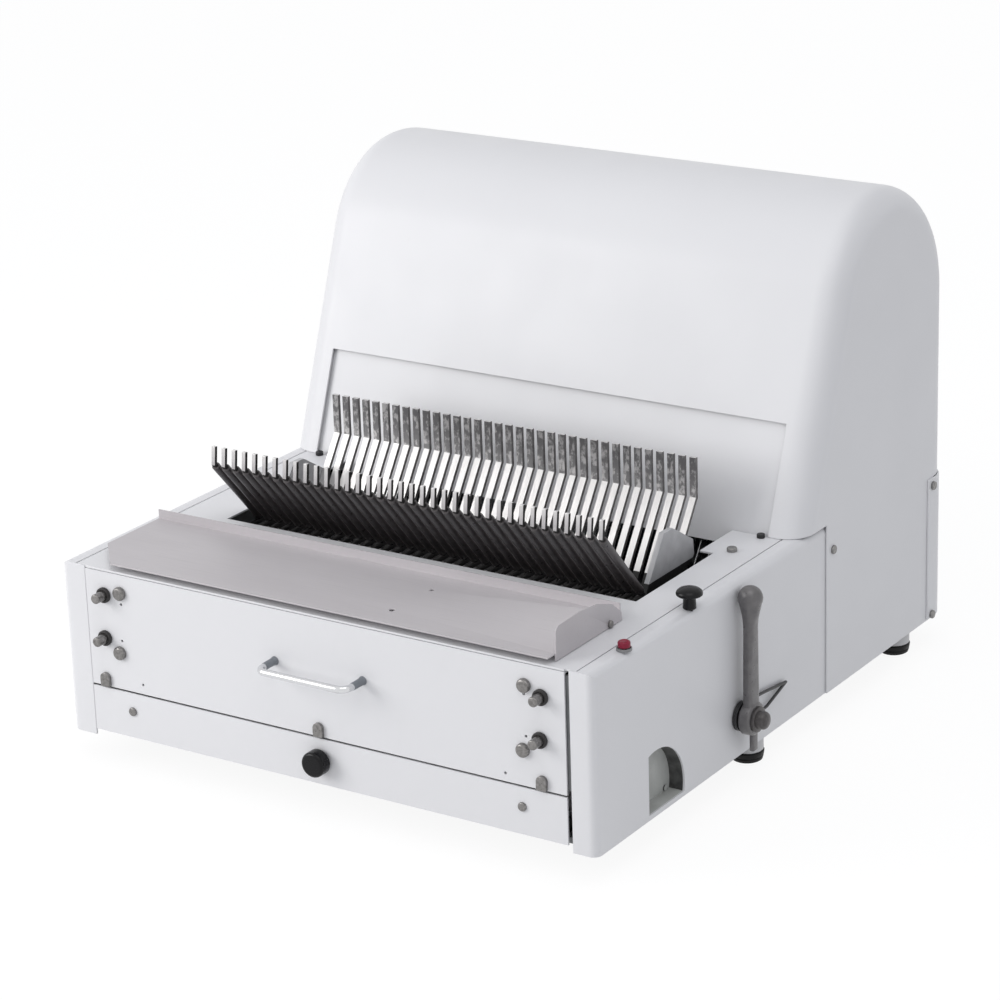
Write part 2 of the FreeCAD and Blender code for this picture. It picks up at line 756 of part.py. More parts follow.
def band(points, half):
    """The outline of a bent strip of the given half thickness along a chain of (y, z) points."""
    left, right = [], []
    steps = []
    for p, q in zip(points, points[1:]):
        n = math.hypot(q[0] - p[0], q[1] - p[1])
        steps.append(((q[0] - p[0]) / n, (q[1] - p[1]) / n))
    for i, p in enumerate(points):
        before = steps[max(i - 1, 0)]
        after = steps[min(i, len(steps) - 1)]
        ny, nz = -(before[1] + after[1]), before[0] + after[0]
        scale = half / (-ny * before[1] + nz * before[0])
        left.append((p[0] + ny * scale, p[1] + nz * scale))
        right.append((p[0] - ny * scale, p[1] - nz * scale))
    return left + right[::-1]


def comb(chain, strip, count, width):
    """Bent fingers side by side along X, joined by a strip."""
    outline = band(chain, finger_t / 2)
    fingers = [plate_x(outline, x - width / 2, x + width / 2) for x in finger_xs(count)]
    return strip.fuse(fingers).removeSplitter()


def make_rear_comb():
    """Fingers that leave the root bar's rear face, dip under the loaf and rise behind it."""
    face = root_bar_y + root_bar_size / 2
    strip = box(-rear_comb_half, rear_comb_half, face, face + finger_t, root_bar_z - 6, root_bar_z + 5)
    chain = [(face + finger_t / 4, root_bar_z - 2)] + from_axis([rear_foot, rear_bend, rear_tip])
    return comb(chain, strip, rear_fingers, finger_w)


def front_chain():
    """The middle of a front finger's strip: up the bar's front face, over its top, then out and up."""
    y = root_bar_y - root_bar_size / 2 - finger_t / 2
    low = (y, root_bar_z - 4)
    over = (y, from_axis([front_foot])[0][1])
    return [low, over] + from_axis([front_foot, front_bend, front_tip])


def make_front_comb():
    face = root_bar_y - root_bar_size / 2
    strip = box(-front_comb_half, front_comb_half, face - finger_t, face, root_bar_z - 6, root_bar_z + 5)
    return comb(front_chain(), strip, front_fingers, front_finger_w)


def make_comb_sleeves():
    """A rubber sleeve over the sloping part of each front finger."""
    foot, bend = from_axis([front_foot, front_bend])
    dy, dz = bend[0] - foot[0], bend[1] - foot[1]
    length = math.hypot(dy, dz)
    dy, dz = dy / length, dz / length
    core = band([foot, bend], finger_t / 2)
    sleeves = []
    for x in finger_xs(front_fingers):
        start = V(x, foot[0] + dy * sleeve_start, foot[1] + dz * sleeve_start)
        tube = Part.makeCylinder(sleeve_r, length - sleeve_start - sleeve_end, start, V(0, dy, dz))
        sleeves.append(tube.cut(plate_x(core, x - front_finger_w / 2, x + front_finger_w / 2)))
    return sleeves


# --- Lever --------------------------------------------------------------------
def make_lever():
    half_t = lever_arm_t / 2
    half_w = lever_arm_w / 2
    hub = rod(lever_x - lever_hub_half, lever_x + lever_hub_half, cradle_y, cradle_z, lever_hub_r)
    arm = plate_x(from_axis([(-half_w, 0), (half_w, 0), (half_w - 0.7, lever_neck_up),
                             (-half_w + 0.7, lever_neck_up)]), lever_x - half_t, lever_x + half_t)
    arm = round_edges(arm, half_t - 1, lambda e: e.BoundBox.ZLength > lever_neck_up / 2)
    neck_z = cradle_z + lever_neck_up
    bulb_z = cradle_z + lever_bulb_up
    neck_h = bulb_z - neck_z - lever_bulb_r * 0.2
    foot = V(lever_x, cradle_y, neck_z)
    neck = Part.makeCone(lever_bulb_r * 0.66, lever_bulb_r * 0.97, neck_h, foot)
    ball = Part.makeSphere(lever_bulb_r, V(lever_x, cradle_y, bulb_z))
    tail = box(lever_x - lever_tail_t / 2, lever_x + lever_tail_t / 2, cradle_y, cradle_y + lever_tail_w,
               cradle_z - lever_tail_down, cradle_z)
    solid = hub.fuse([arm, neck, ball, tail])
    return solid.cut(rod(cover_half, far, cradle_y, cradle_z, cradle_shaft_r)).removeSplitter()


def make_hub_nut():
    """A washer and a domed nut on the end of the cradle shaft."""
    x0 = lever_x + lever_hub_half
    x1 = x0 + hub_washer_t
    nut = rod(x1, lever_reach_x, cradle_y, cradle_z, hub_nut_r)
    nut = round_edges(nut, 3, lambda e: e.BoundBox.XMin > lever_reach_x - 0.01)
    solid = nut.fuse(rod(x0, x1, cradle_y, cradle_z, hub_washer_r))
    return solid.cut(rod(x0 - 1, lever_reach_x - 4, cradle_y, cradle_z, hub_stub_r)).removeSplitter()


def make_lever_catch():
    """A thin wire loop on a ring that turns on the shaft behind the lever's hub."""
    x0 = cover_half + catch_gap
    x = x0 + catch_ring_t / 2
    ring = rod(x0, x0 + catch_ring_t, cradle_y, cradle_z, catch_ring_r)
    points = from_axis(catch_line)
    solid = ring
    for p, q in zip(points, points[1:]):
        way = V(0, q[0] - p[0], q[1] - p[1])
        wire = Part.makeCylinder(catch_wire_r, way.Length, V(x, p[0], p[1]), way)
        solid = solid.fuse([wire, Part.makeSphere(catch_wire_r, V(x, q[0], q[1]))])
    return solid.cut(rod(0, far, cradle_y, cradle_z, cradle_shaft_r + running_gap)).removeSplitter()


# --- Guard --------------------------------------------------------------------
def make_guard():
    """A sheet in the hood's window with an ear and two guide pins at each end."""
    back = guard_recess + sheet
    corners = [on_hood(guard_low, guard_recess), on_hood(guard_high, guard_recess),
               on_hood(guard_high, back), on_hood(guard_low, back)]
    face = plate_x(corners, -guard_half, guard_half)
    ear = plate_x([on_hood(guard_low + 22, back), on_hood(guard_high - 24, back),
                   on_slide(guard_pin_us[1] + 12, -1.6), on_slide(guard_pin_us[0] - 10, -1.6)],
                  guard_half - guard_ear_t, guard_half)
    solid = face.fuse(both_sides(ear))
    for u in guard_pin_us:
        y, z = on_slide(u, guard_pin_v)
        solid = solid.fuse(both_sides(rod(guard_half - 1, frame_inner - gap, y, z, guard_pin_r)))
    return solid.removeSplitter()


def make_guard_rails():
    """A slotted flat rail on each side frame."""
    x0 = guard_half + 0.5
    high = guard_pin_us[1] + guard_lift + 2 * guard_pin_r
    rail = slide_bar(x0, frame_inner, guard_pin_us[0] - 8, high + 4, guard_pin_v - 7, guard_pin_v + 6)
    half = guard_pin_r + rail_clear
    slot = slide_bar(x0 - 1, frame_inner + 1, guard_pin_us[0] - half - 0.7, high, guard_pin_v - half,
                     guard_pin_v + half)
    return both_sides(rail.cut(slot))


# --- Blade frames -------------------------------------------------------------
def frame_rails(low, high, v0, v1):
    """Two cross rails and two side bars of one blade frame."""
    pieces = [slide_bar(-side_bar_inner, side_bar_inner, u - rail_w, u, v0, v1) for u in (low, high)]
    pieces += both_sides(slide_bar(side_bar_inner, side_bar_outer, low - rail_w, high, v0, v1))
    return pieces


def guide_blocks(v0, v1, bore_v):
    """Blocks on the side bars that run on the guide rods."""
    blocks = []
    for u in guide_us:
        block = slide_bar(side_bar_outer, guide_x + 8, u, u + guide_block_h, v0, v1)
        bore = slide_rod(guide_x, u - 1, u + guide_block_h + 1, bore_v, guide_r + running_gap)
        blocks += both_sides(block.cut(bore))
    return blocks


def rod_arm(u, v0, v1, x_end):
    """An arm that reaches back from a side bar, and the pin of its connecting rod."""
    x0 = side_bar_outer
    half = rail_w + 1
    foot = slide_bar(x0, x0 + 1.2, u - half, u + half, v0, v1)
    arm = slide_bar(x0 + 1.2, x0 + rod_t, u - half, u + half, v0, crank_v + 9)
    y, z = on_slide(u, crank_v)
    pin = rod(x0 + rod_t, x_end + rod_t, y, z, rod_pin_r)
    return both_sides(foot) + both_sides(arm) + both_sides(pin)


def make_front_frame():
    v0, v1 = frame_skin, blade_w - frame_skin
    pieces = frame_rails(outer_low, outer_high, v0, v1)
    pieces += guide_blocks(v0, v1, guide_vs[0])
    pieces += rod_arm(rod_a_u, v0, v1, rod_a_x)
    return pieces[0].fuse(pieces[1:]).removeSplitter()


def make_rear_frame():
    v0 = blade_w + frame_gap
    v1 = v0 + blade_w
    pieces = frame_rails(inner_low, inner_high, v0, v1)
    pieces += guide_blocks(v0, v1, guide_vs[1])
    pieces += rod_arm(rod_b_u, v0, v1, rod_b_x)
    return pieces[0].fuse(pieces[1:]).removeSplitter()


def blade_xs(first):
    return [(i - (blade_count - 1) / 2.0) * finger_pitch for i in range(first, blade_count, 2)]


def make_front_blades():
    """Every second blade, hooked to the front frame's rails."""
    half = blade_t / 2
    return [slide_bar(x - half, x + half, outer_low, outer_high - rail_w, 0, blade_w) for x in blade_xs(0)]


def make_rear_blades():
    """The other blades, each with a hook at both ends that reaches back to the rear frame's rails."""
    blades = []
    low = inner_low
    high = inner_high - rail_w
    back = 2 * blade_w + frame_gap
    for x in blade_xs(1):
        x0, x1 = x - blade_t / 2, x + blade_t / 2
        strip = slide_bar(x0, x1, low, high, 0, blade_w)
        hooks = [slide_bar(x0, x1, u, u + hook_h, blade_w - 1, back) for u in (low, high - hook_h)]
        blades.append(strip.fuse(hooks).removeSplitter())
    return blades


def make_guide_rods():
    rods = []
    for v in guide_vs:
        rods += both_sides(slide_rod(guide_x, guide_us[0] - 42, guide_us[1] + 66, v, guide_r))
    return rods


def make_guide_brackets():
    """Blocks on the side frames that hold the ends of the guide rods."""
    blocks = []
    for u0, u1 in ((guide_us[0] - 44, guide_us[0] - 26), (guide_us[1] + 50, guide_us[1] + 68)):
        block = slide_bar(guide_x - 7, frame_inner, u0, u1, 2, blade_w * 2 + frame_gap + 2)
        holes = [slide_rod(guide_x, u0 - 10, u1 + 10, v, guide_r) for v in guide_vs]
        blocks += both_sides(cut(block, holes))
    return blocks


# --- Drive --------------------------------------------------------------------
def make_crank_shaft():
    y, z = on_slide(crank_u, crank_v)
    s, c = slide_dir()
    end = frame_outer + bush_flange + 1
    shaft = rod(-end, end, y, z, crank_shaft_r)
    pieces = both_sides(rod(disc_x, disc_x + disc_t, y, z, crank_disc_r))
    for x, sign in ((disc_x, 1), (disc_x + disc_t, -1)):
        pin = rod(x - 1, x + 1, y + sign * crank_throw * c, z - sign * crank_throw * s, crank_pin_r)
        pieces += both_sides(pin)
    return shaft.fuse(pieces).removeSplitter()


def make_connecting_rods(x0, top_u):
    """A flat rod from the frame's pin down to the crank, with an eye at each end."""
    x1 = x0 + rod_t
    top_y, top_z = on_slide(top_u, crank_v)
    y, z = on_slide(crank_u, crank_v)
    bar = slide_bar(x0, x1, crank_u, top_u, crank_v - 7, crank_v + 7)
    solid = bar.fuse([rod(x0, x1, y, z, rod_eye_r), rod(x0, x1, top_y, top_z, rod_pin_r + 5)])
    holes = [rod(x0 - 1, x1 + 1, top_y, top_z, rod_pin_r), rod(x0 - 1, x1 + 1, y, z, rod_eye_r - 6)]
    return both_sides(cut(solid, holes).removeSplitter())


def pulley(y, z, r, bore):
    x0 = pulley_x - pulley_w
    rim = rod(x0, pulley_x, y, z, r)
    groove = rod(x0 + 2, pulley_x - 2, y, z, r + 1).cut(rod(x0 + 2, pulley_x - 2, y, z, r - belt_t))
    return rim.cut(groove).cut(rod(x0 - 1, pulley_x + 1, y, z, bore))


def make_drive_pulley():
    y, z = on_slide(crank_u, crank_v)
    return pulley(y, z, drive_pulley_r, crank_shaft_r)


def make_motor_pulley():
    return pulley(motor_y, motor_z, motor_pulley_r, motor_shaft_r)


def make_belt():
    """A flat belt in the grooves of the two pulleys."""
    y, z = on_slide(crank_u, crank_v)
    r0 = drive_pulley_r - belt_t + belt_clear
    r1 = motor_pulley_r - belt_t + belt_clear
    dy, dz = motor_y - y, motor_z - z
    dist = math.hypot(dy, dz)
    base = math.atan2(dz, dy)

    def loop(x0, x1, ra, rb):
        lean = math.acos((ra - rb) / dist)
        corners = []
        for sign in (1, -1):
            a = base + sign * lean
            pair = [(y + ra * math.cos(a), z + ra * math.sin(a)),
                    (motor_y + rb * math.cos(a), motor_z + rb * math.sin(a))]
            corners += pair if sign > 0 else pair[::-1]
        return plate_x(corners, x0, x1).fuse([rod(x0, x1, y, z, ra), rod(x0, x1, motor_y, motor_z, rb)])

    x0 = pulley_x - pulley_w + 2.6
    x1 = pulley_x - 2.6
    outer = loop(x0, x1, r0 + belt_t, r1 + belt_t)
    return outer.cut(loop(x0 - 1, x1 + 1, r0, r1)).removeSplitter()


def make_shaft_bearings():
    y, z = on_slide(crank_u, crank_v)
    return both_sides(bush(y, z, crank_shaft_r))


def make_motor():
    """A round motor with a terminal box on top and a nose where its shaft comes out."""
    nose_x = motor_left - 12
    body = rod(motor_left, motor_right, motor_y, motor_z, motor_r)
    body = round_edges(body, 8, lambda e: e.BoundBox.XLength < 0.01 and e.BoundBox.YLength > motor_r)
    lid = box(motor_left + 70, motor_left + 160, motor_y - 36, motor_y + 36,
              motor_z + motor_r * 0.6, motor_z + motor_r + 22)
    nose = rod(nose_x, motor_left, motor_y, motor_z, 26)
    bore = rod(nose_x - 1, motor_left + 30, motor_y, motor_z, motor_shaft_r + running_gap)
    return body.fuse([lid, nose]).cut(bore).removeSplitter()


def make_motor_shaft():
    """The motor's shaft, which carries its pulley."""
    return rod(pulley_x - pulley_w - 2, motor_left + 28, motor_y, motor_z, motor_shaft_r)


def make_motor_mount():
    """A saddle that stands on the base pan under the motor."""
    y0, y1 = motor_y - 50, motor_y + 42
    solid = box(saddle_xs[0], saddle_xs[1] + saddle_t, y0, y1, base_top, base_top + 4)
    cheeks = []
    for x in saddle_xs:
        cheek = box(x, x + saddle_t, y0, y1, base_top, motor_z - 20)
        cheeks.append(cheek.cut(rod(x - 1, x + saddle_t + 1, motor_y, motor_z, motor_r)))
    return solid.fuse(cheeks).removeSplitter()


# --- Drawer -------------------------------------------------------------------
def make_drawer():
    behind = -half_depth + sheet
    half = panel_half - pan_inset
    front = box(-panel_half, panel_half, -half_depth, behind, front_bottom_z, panel_bottom_z - seam)
    outer = box(-half, half, behind, pan_rear_y, pan_floor_z, pan_wall_z)
    inner = box(-half + pan_t, half - pan_t, behind, pan_rear_y - pan_t, pan_floor_z + pan_t, pan_wall_z + 1)
    holes = [through_panel(side * drawer_screw_x, drawer_screw_z, 2.2) for side in (-1, 1)]
    return cut(front.fuse(outer.cut(inner)).removeSplitter(), holes)


def make_drawer_runners():
    """Angle rails on the base pan, one each side of the pan."""
    x = panel_half - pan_inset + runner_clear
    y0 = -half_depth + 20
    y1 = pan_rear_y + 6
    rail = box(x, x + base_t, y0, y1, base_top, pan_wall_z - 4)
    shelf_top = pan_floor_z - runner_clear
    shelf = box(x - 14, x, y0, y1, shelf_top - sheet, shelf_top)
    return both_sides(rail.fuse(shelf).removeSplitter())


def make_drawer_knob():
    face = -half_depth
    knob = stud(0, drawer_knob_z, face - drawer_knob_out, face - 3, drawer_knob_r)
    knob = round_edges(knob, 3.4, lambda e: e.BoundBox.YMax < face - drawer_knob_out + 0.1)
    return knob.fuse(stud(0, drawer_knob_z, face - 3, face, drawer_knob_r / 2)).removeSplitter()


def make_drawer_screws():
    screws = []
    face = -half_depth
    for side in (-1, 1):
        x = side * drawer_screw_x
        head = stud(x, drawer_screw_z, face - 2.4, face, drawer_screw_r)
        head = round_edges(head, 1.2, lambda e: e.BoundBox.YMax < face - 2.3)
        screws.append(head.fuse(stud(x, drawer_screw_z, face, face + 7, 2.0)).removeSplitter())
    return screws


# --- Controls -----------------------------------------------------------------
def make_stop_button():
    """A round red cap on a stem."""
    high = deck_z + button_top
    cap = post(button_x, button_y, deck_z + button_ring_h + 0.5, high, button_r)
    cap = round_edges(cap, 1.5, lambda e: e.BoundBox.ZMin > high - 0.1)
    return cap.fuse(post(button_x, button_y, deck_z - 18, high - 4, button_stem_r)).removeSplitter()


def make_button_base():
    """A grey ring on the cover, with a neck through its hole."""
    ring = post(button_x, button_y, deck_z + touch, deck_z + button_ring_h, button_ring_r)
    neck = post(button_x, button_y, deck_z - 6, deck_z + 1, button_neck_r)
    bore = post(button_x, button_y, 0, far, button_stem_r + running_gap)
    well = post(button_x, button_y, deck_z + 0.4, far, button_r + 0.3)
    return cut(ring.fuse(neck), [bore, well]).removeSplitter()


def make_start_knob():
    """A black mushroom knob on a thick stem, and the plunger under it."""
    high = knob_cap_z + knob_cap_h
    cap = post(knob_x, knob_y, knob_cap_z, high, knob_r)
    cap = round_edges(cap, 5, lambda e: e.BoundBox.ZMin > high - 0.1)
    cap = round_edges(cap, 1.2, lambda e: e.BoundBox.ZMax < knob_cap_z + 0.1)
    stem = post(knob_x, knob_y, deck_z + 0.3, knob_cap_z + 2, knob_stem_r)
    plunger = post(knob_x, knob_y, deck_z - 40, knob_cap_z, knob_plunger_r)
    return cap.fuse([stem, plunger]).removeSplitter()


def make_knob_bush():
    """A guide bush under the cover that the plunger runs in."""
    high = deck_z - sheet - edge_round
    ring = post(knob_x, knob_y, high - 10, high, knob_plunger_r + knob_bush_wall)
    return ring.cut(post(knob_x, knob_y, 0, far, knob_plunger_r + running_gap))


def make_switches():
    """The two switch bodies under the button and the knob, on the right side frame."""
    x1 = cover_half - sheet - 0.5
    stop = box(frame_outer, x1, button_y - 14, button_y + 14, deck_z - 54, deck_z - 23)
    start = box(frame_outer, x1, knob_y - 14, knob_y + 14, deck_z - 84, deck_z - 42)
    return [stop, start]


# --- Feet and fasteners -------------------------------------------------------
def foot_places():
    return [(side * foot_x, y) for side in (-1, 1) for y in (foot_front_y, foot_rear_y)]


def make_foot_spacers():
    return [post(x, y, rubber_h, cover_bottom_z, foot_r - 0.8) for x, y in foot_places()]


def make_rubber_feet():
    return [Part.makeCone(foot_r - 1.5, foot_r, rubber_h, V(x, y, 0), V(0, 0, 1)) for x, y in foot_places()]


def side_screw(x, y, z, r, out):
    """A domed screw head that stands out along +X."""
    head = rod(x, x + out, y, z, r)
    return round_edges(head, out * 0.45, lambda e: e.BoundBox.XMin > x + out - 0.01)


def make_hood_screws():
    y, z = hood_screw
    return both_sides(side_screw(hood_half, y, z, screw_r, screw_out))


def make_back_screws():
    screws = []
    x = hood_half + sheet + flange_gap
    for z in (back_panel_top_z - 8, cover_bottom_z + 6):
        screws += both_sides(side_screw(x, back_flange_y + 9, z, screw_r, back_screw_out))
    return screws


def make_cord_gland():
    y = hood_rear_y + sheet + flange_gap
    head = stud(gland_x, gland_z, y, y + gland_out, gland_r + 3)
    gland = head.fuse(stud(gland_x, gland_z, y - 6, y, gland_r))
    return gland.cut(stud(gland_x, gland_z, y - 7, y + gland_out + 1, gland_bore_r)).removeSplitter()


# --- Export -------------------------------------------------------------------
def export(name, shapes):
    if not isinstance(shapes, list):
        shapes = [shapes]
    moved = []
    for solid in [s for shape in shapes for s in shape.Solids]:
        if not solid.isValid():
            print("not valid:", name)
        copy = solid.copy()
        copy.translate(V(shift_x, shift_y, 0))
        moved.append(copy)
    body = moved[0] if len(moved) == 1 else Part.makeCompound(moved)
    body.exportStep("parts/" + name + ".step")
    print(name, len(moved), round(body.Volume / 1000.0, 1), "cm3")


nodes = {
    "base_pan": make_base_pan(),
    "left_side_frame": make_side_frame(-1),
    "right_side_frame": make_side_frame(1),
    "cross_ties": make_cross_ties(),
    "left_cover": make_cover(-1),
    "right_cover": make_cover(1),
    "recess_liner": make_recess_liner(),
    "front_panel": make_front_panel(),
    "panel_bolts": make_panel_bolts(),
    "bolt_collars": make_bolt_collars(),
    "seam_pins": make_seam_pins(),
    "wire_handle": make_wire_handle(),
    "deck_plate": make_deck(),
    "deck_bolts": make_deck_bolts(),
    "bagging_tray": make_tray(),
    "tray_screw": make_tray_screws(),
    "hood": make_hood(),
    "hood_screws": make_hood_screws(),
    "back_panel": make_back_panel(),
    "back_panel_screws": make_back_screws(),
    "guard": make_guard(),
    "guard_rails": make_guard_rails(),
    "cradle_shaft": make_cradle_shaft(),
    "cradle_bearings": make_cradle_bearings(),
    "cradle_arms": make_cradle_arms(),
    "comb_root_bar": make_root_bar(),
    "rear_comb": make_rear_comb(),
    "front_comb": make_front_comb(),
    "comb_sleeves": make_comb_sleeves(),
    "lever": make_lever(),
    "lever_hub_nut": make_hub_nut(),
    "lever_catch": make_lever_catch(),
    "front_blade_frame": make_front_frame(),
    "front_blades": make_front_blades(),
    "rear_blade_frame": make_rear_frame(),
    "rear_blades": make_rear_blades(),
    "guide_rods": make_guide_rods(),
    "guide_brackets": make_guide_brackets(),
    "front_frame_rods": make_connecting_rods(rod_a_x, rod_a_u),
    "rear_frame_rods": make_connecting_rods(rod_b_x, rod_b_u),
    "crank_shaft": make_crank_shaft(),
    "crank_bearings": make_shaft_bearings(),
    "drive_pulley": make_drive_pulley(),
    "motor_pulley": make_motor_pulley(),
    "drive_belt": make_belt(),
    "motor": make_motor(),
    "motor_shaft": make_motor_shaft(),
    "motor_mount": make_motor_mount(),
    "crumb_drawer": make_drawer(),
    "drawer_runners": make_drawer_runners(),
    "drawer_knob": make_drawer_knob(),
    "drawer_screws": make_drawer_screws(),
    "stop_button": make_stop_button(),
    "button_base": make_button_base(),
    "start_knob": make_start_knob(),
    "knob_bush": make_knob_bush(),
    "control_switches": make_switches(),
    "foot_spacers": make_foot_spacers(),
    "rubber_feet": make_rubber_feet(),
    "cord_gland": make_cord_gland(),
}
os.makedirs("parts", exist_ok=True)
for name, shapes in nodes.items():
    export(name, shapes)
print(len(nodes), "nodes")
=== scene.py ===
import math
import bmesh
import bpy
from mathutils import Matrix, Vector


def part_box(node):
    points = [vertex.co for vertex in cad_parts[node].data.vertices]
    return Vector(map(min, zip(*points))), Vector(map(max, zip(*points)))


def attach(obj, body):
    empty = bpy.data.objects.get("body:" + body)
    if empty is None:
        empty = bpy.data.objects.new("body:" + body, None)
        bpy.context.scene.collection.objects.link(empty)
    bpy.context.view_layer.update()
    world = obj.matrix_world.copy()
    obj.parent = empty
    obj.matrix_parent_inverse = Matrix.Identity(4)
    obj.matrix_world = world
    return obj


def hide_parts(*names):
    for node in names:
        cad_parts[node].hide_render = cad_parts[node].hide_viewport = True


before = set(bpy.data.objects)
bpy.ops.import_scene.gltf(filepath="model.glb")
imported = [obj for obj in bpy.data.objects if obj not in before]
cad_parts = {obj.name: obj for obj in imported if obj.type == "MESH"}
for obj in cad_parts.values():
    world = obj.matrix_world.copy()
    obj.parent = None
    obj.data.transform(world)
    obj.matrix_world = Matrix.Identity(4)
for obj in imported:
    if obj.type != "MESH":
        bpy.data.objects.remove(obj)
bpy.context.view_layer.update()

# --- Camera --------------------------------------------------------------------------------------
# A long lens at the height of a standing buyer's eye, off the machine's right front
# corner, turned a little about its own line of sight.
eye = Vector((1.80065, -2.7483, 1.3938))
azimuth = math.radians(33.617)
elevation = math.radians(19.649)
roll = math.radians(-1.8886)
back = Vector((math.sin(azimuth) * math.cos(elevation), -math.cos(azimuth) * math.cos(elevation),
               math.sin(elevation)))
level_right = Vector((math.cos(azimuth), math.sin(azimuth), 0))
level_up = back.cross(level_right)
right = level_right * math.cos(roll) + level_up * math.sin(roll)
up = level_up * math.cos(roll) - level_right * math.sin(roll)
camera = bpy.data.objects.new("camera", bpy.data.cameras.new("camera"))
camera.data.lens = 122.9
camera.data.sensor_width = 36.0
camera.data.clip_end = 60.0
camera.matrix_world = Matrix.Translation(eye) @ Matrix((right, up, back)).transposed().to_4x4()
bpy.context.scene.collection.objects.link(camera)
bpy.context.scene.camera = camera

# --- Studio --------------------------------------------------------------------------------------
# A white room: even light from all round, a large soft lamp at the left front, a weak one
# above and a white table that keeps a soft shadow under the machine.
view = bpy.context.scene.view_settings
view.view_transform = "Standard"
room = bpy.data.worlds.new("white_room")
room.use_nodes = True
bpy.context.scene.world = room


def seen_white(tree, seen, lit):
    """Mixes two shaders: rays that see the surface, straight or in a mirror, get the first one."""
    path = tree.nodes.new("ShaderNodeLightPath")
    either = tree.nodes.new("ShaderNodeMath")
    either.operation = "MAXIMUM"
    tree.links.new(path.outputs["Is Camera Ray"], either.inputs[0])
    tree.links.new(path.outputs["Is Transmission Ray"], either.inputs[1])
    any_ray = tree.nodes.new("ShaderNodeMath")
    any_ray.operation = "MAXIMUM"
    tree.links.new(either.outputs[0], any_ray.inputs[0])
    tree.links.new(path.outputs["Is Glossy Ray"], any_ray.inputs[1])
    mix = tree.nodes.new("ShaderNodeMixShader")
    tree.links.new(any_ray.outputs[0], mix.inputs["Fac"])
    tree.links.new(lit.outputs[0], mix.inputs[1])
    tree.links.new(seen.outputs[0], mix.inputs[2])
    return mix


room_light = room.node_tree.nodes["Background"]
room_light.inputs["Color"].default_value = (0.94, 0.955, 1.0, 1)
room_light.inputs["Strength"].default_value = 0.59
room_seen = room.node_tree.nodes.new("ShaderNodeBackground")
room_seen.inputs["Color"].default_value = (1, 1, 1, 1)
room_mix = seen_white(room.node_tree, room_seen, room_light)
room_out = room.node_tree.nodes["World Output"]
room.node_tree.links.new(room_mix.outputs[0], room_out.inputs["Surface"])


def soft_lamp(name, place, aim, width, watts, colour):
    """A large square lamp that looks at a point."""
    lamp = bpy.data.lights.new(name, "AREA")
    lamp.size = width
    lamp.energy = watts
    lamp.color = colour
    holder = bpy.data.objects.new(name, lamp)
    holder.location = place
    holder.rotation_euler = (Vector(aim) - Vector(place)).to_track_quat("-Z", "Y").to_euler()
    bpy.context.scene.collection.objects.link(holder)


soft_lamp("front_lamp", (-2.2, -2.3, 1.4), (0, 0, 0.25), 1.9, 49, (1.0, 0.99, 0.98))
soft_lamp("top_lamp", (0.9, -1.2, 3.0), (0, 0, 0.2), 2.0, 15, (1.0, 1.0, 1.0))

floor_mesh = bpy.data.meshes.new("table_top")
floor_shape = bmesh.new()
bmesh.ops.create_grid(floor_shape, x_segments=8, y_segments=8, size=14.0)
floor_shape.to_mesh(floor_mesh)
floor_shape.free()
floor = bpy.data.objects.new("table_top", floor_mesh)
bpy.context.scene.collection.objects.link(floor)
table_white = bpy.data.materials.new("table_white")
table_white.use_nodes = True
table_tree = table_white.node_tree
table_lit = table_tree.nodes["Principled BSDF"]
table_lit.inputs["Base Color"].default_value = (0.78, 0.78, 0.78, 1)
table_lit.inputs["Roughness"].default_value = 0.9
table_glow = table_tree.nodes.new("ShaderNodeEmission")
table_glow.inputs["Strength"].default_value = 1.08
table_seen = table_tree.nodes.new("ShaderNodeMixShader")
table_seen.inputs["Fac"].default_value = 0.84
table_tree.links.new(table_lit.outputs[0], table_seen.inputs[1])
table_tree.links.new(table_glow.outputs[0], table_seen.inputs[2])
table_mix = seen_white(table_tree, table_seen, table_lit)
table_tree.links.new(table_mix.outputs[0], table_tree.nodes["Material Output"].inputs["Surface"])
floor_mesh.materials.append(table_white)

# --- Case shells ---------------------------------------------------------------------------------
# Hood, side covers, front panel, deck, drawer, guard and back panel: folded sheet steel whose
# cut edges are broken, under thick white enamel with small differences in gloss.
enamel_colour = (0.80, 0.80, 0.815)
sheet_break = 0.0006                # width of the round on a sheet's cut edge
smooth_limit = math.radians(38)     # edges flatter than this are shaded smooth
flat_limit = math.radians(0.5)      # edges flatter than this are dissolved
break_limit = math.radians(50)      # edges sharper than this are broken
weld_distance = 1e-6


def new_finish(name, colour, roughness, **sockets):
    """A material whose shader has these plain settings; patterns are wired on afterwards."""
    made = bpy.data.materials.new(name)
    made.use_nodes = True
    shader = made.node_tree.nodes["Principled BSDF"]
    shader.inputs["Base Color"].default_value = (*colour, 1)
    shader.inputs["Roughness"].default_value = roughness
    for socket, value in sockets.items():
        shader.inputs[socket.replace("_", " ")].default_value = value
    return made


def pattern(made, size, stretch=(1, 1, 1), detail=4.0, rough=0.55):
    """Noise with blobs about as wide as size, in metres, drawn out along the stretched axes."""
    tree = made.node_tree
    place = tree.nodes.new("ShaderNodeTexCoord")
    scale = tree.nodes.new("ShaderNodeMapping")
    scale.inputs["Scale"].default_value = [1 / factor for factor in stretch]
    noise = tree.nodes.new("ShaderNodeTexNoise")
    noise.inputs["Scale"].default_value = 1 / size
    noise.inputs["Detail"].default_value = detail
    noise.inputs["Roughness"].default_value = rough
    tree.links.new(place.outputs["Object"], scale.inputs["Vector"])
    tree.links.new(scale.outputs["Vector"], noise.inputs["Vector"])
    return noise.outputs["Fac"]


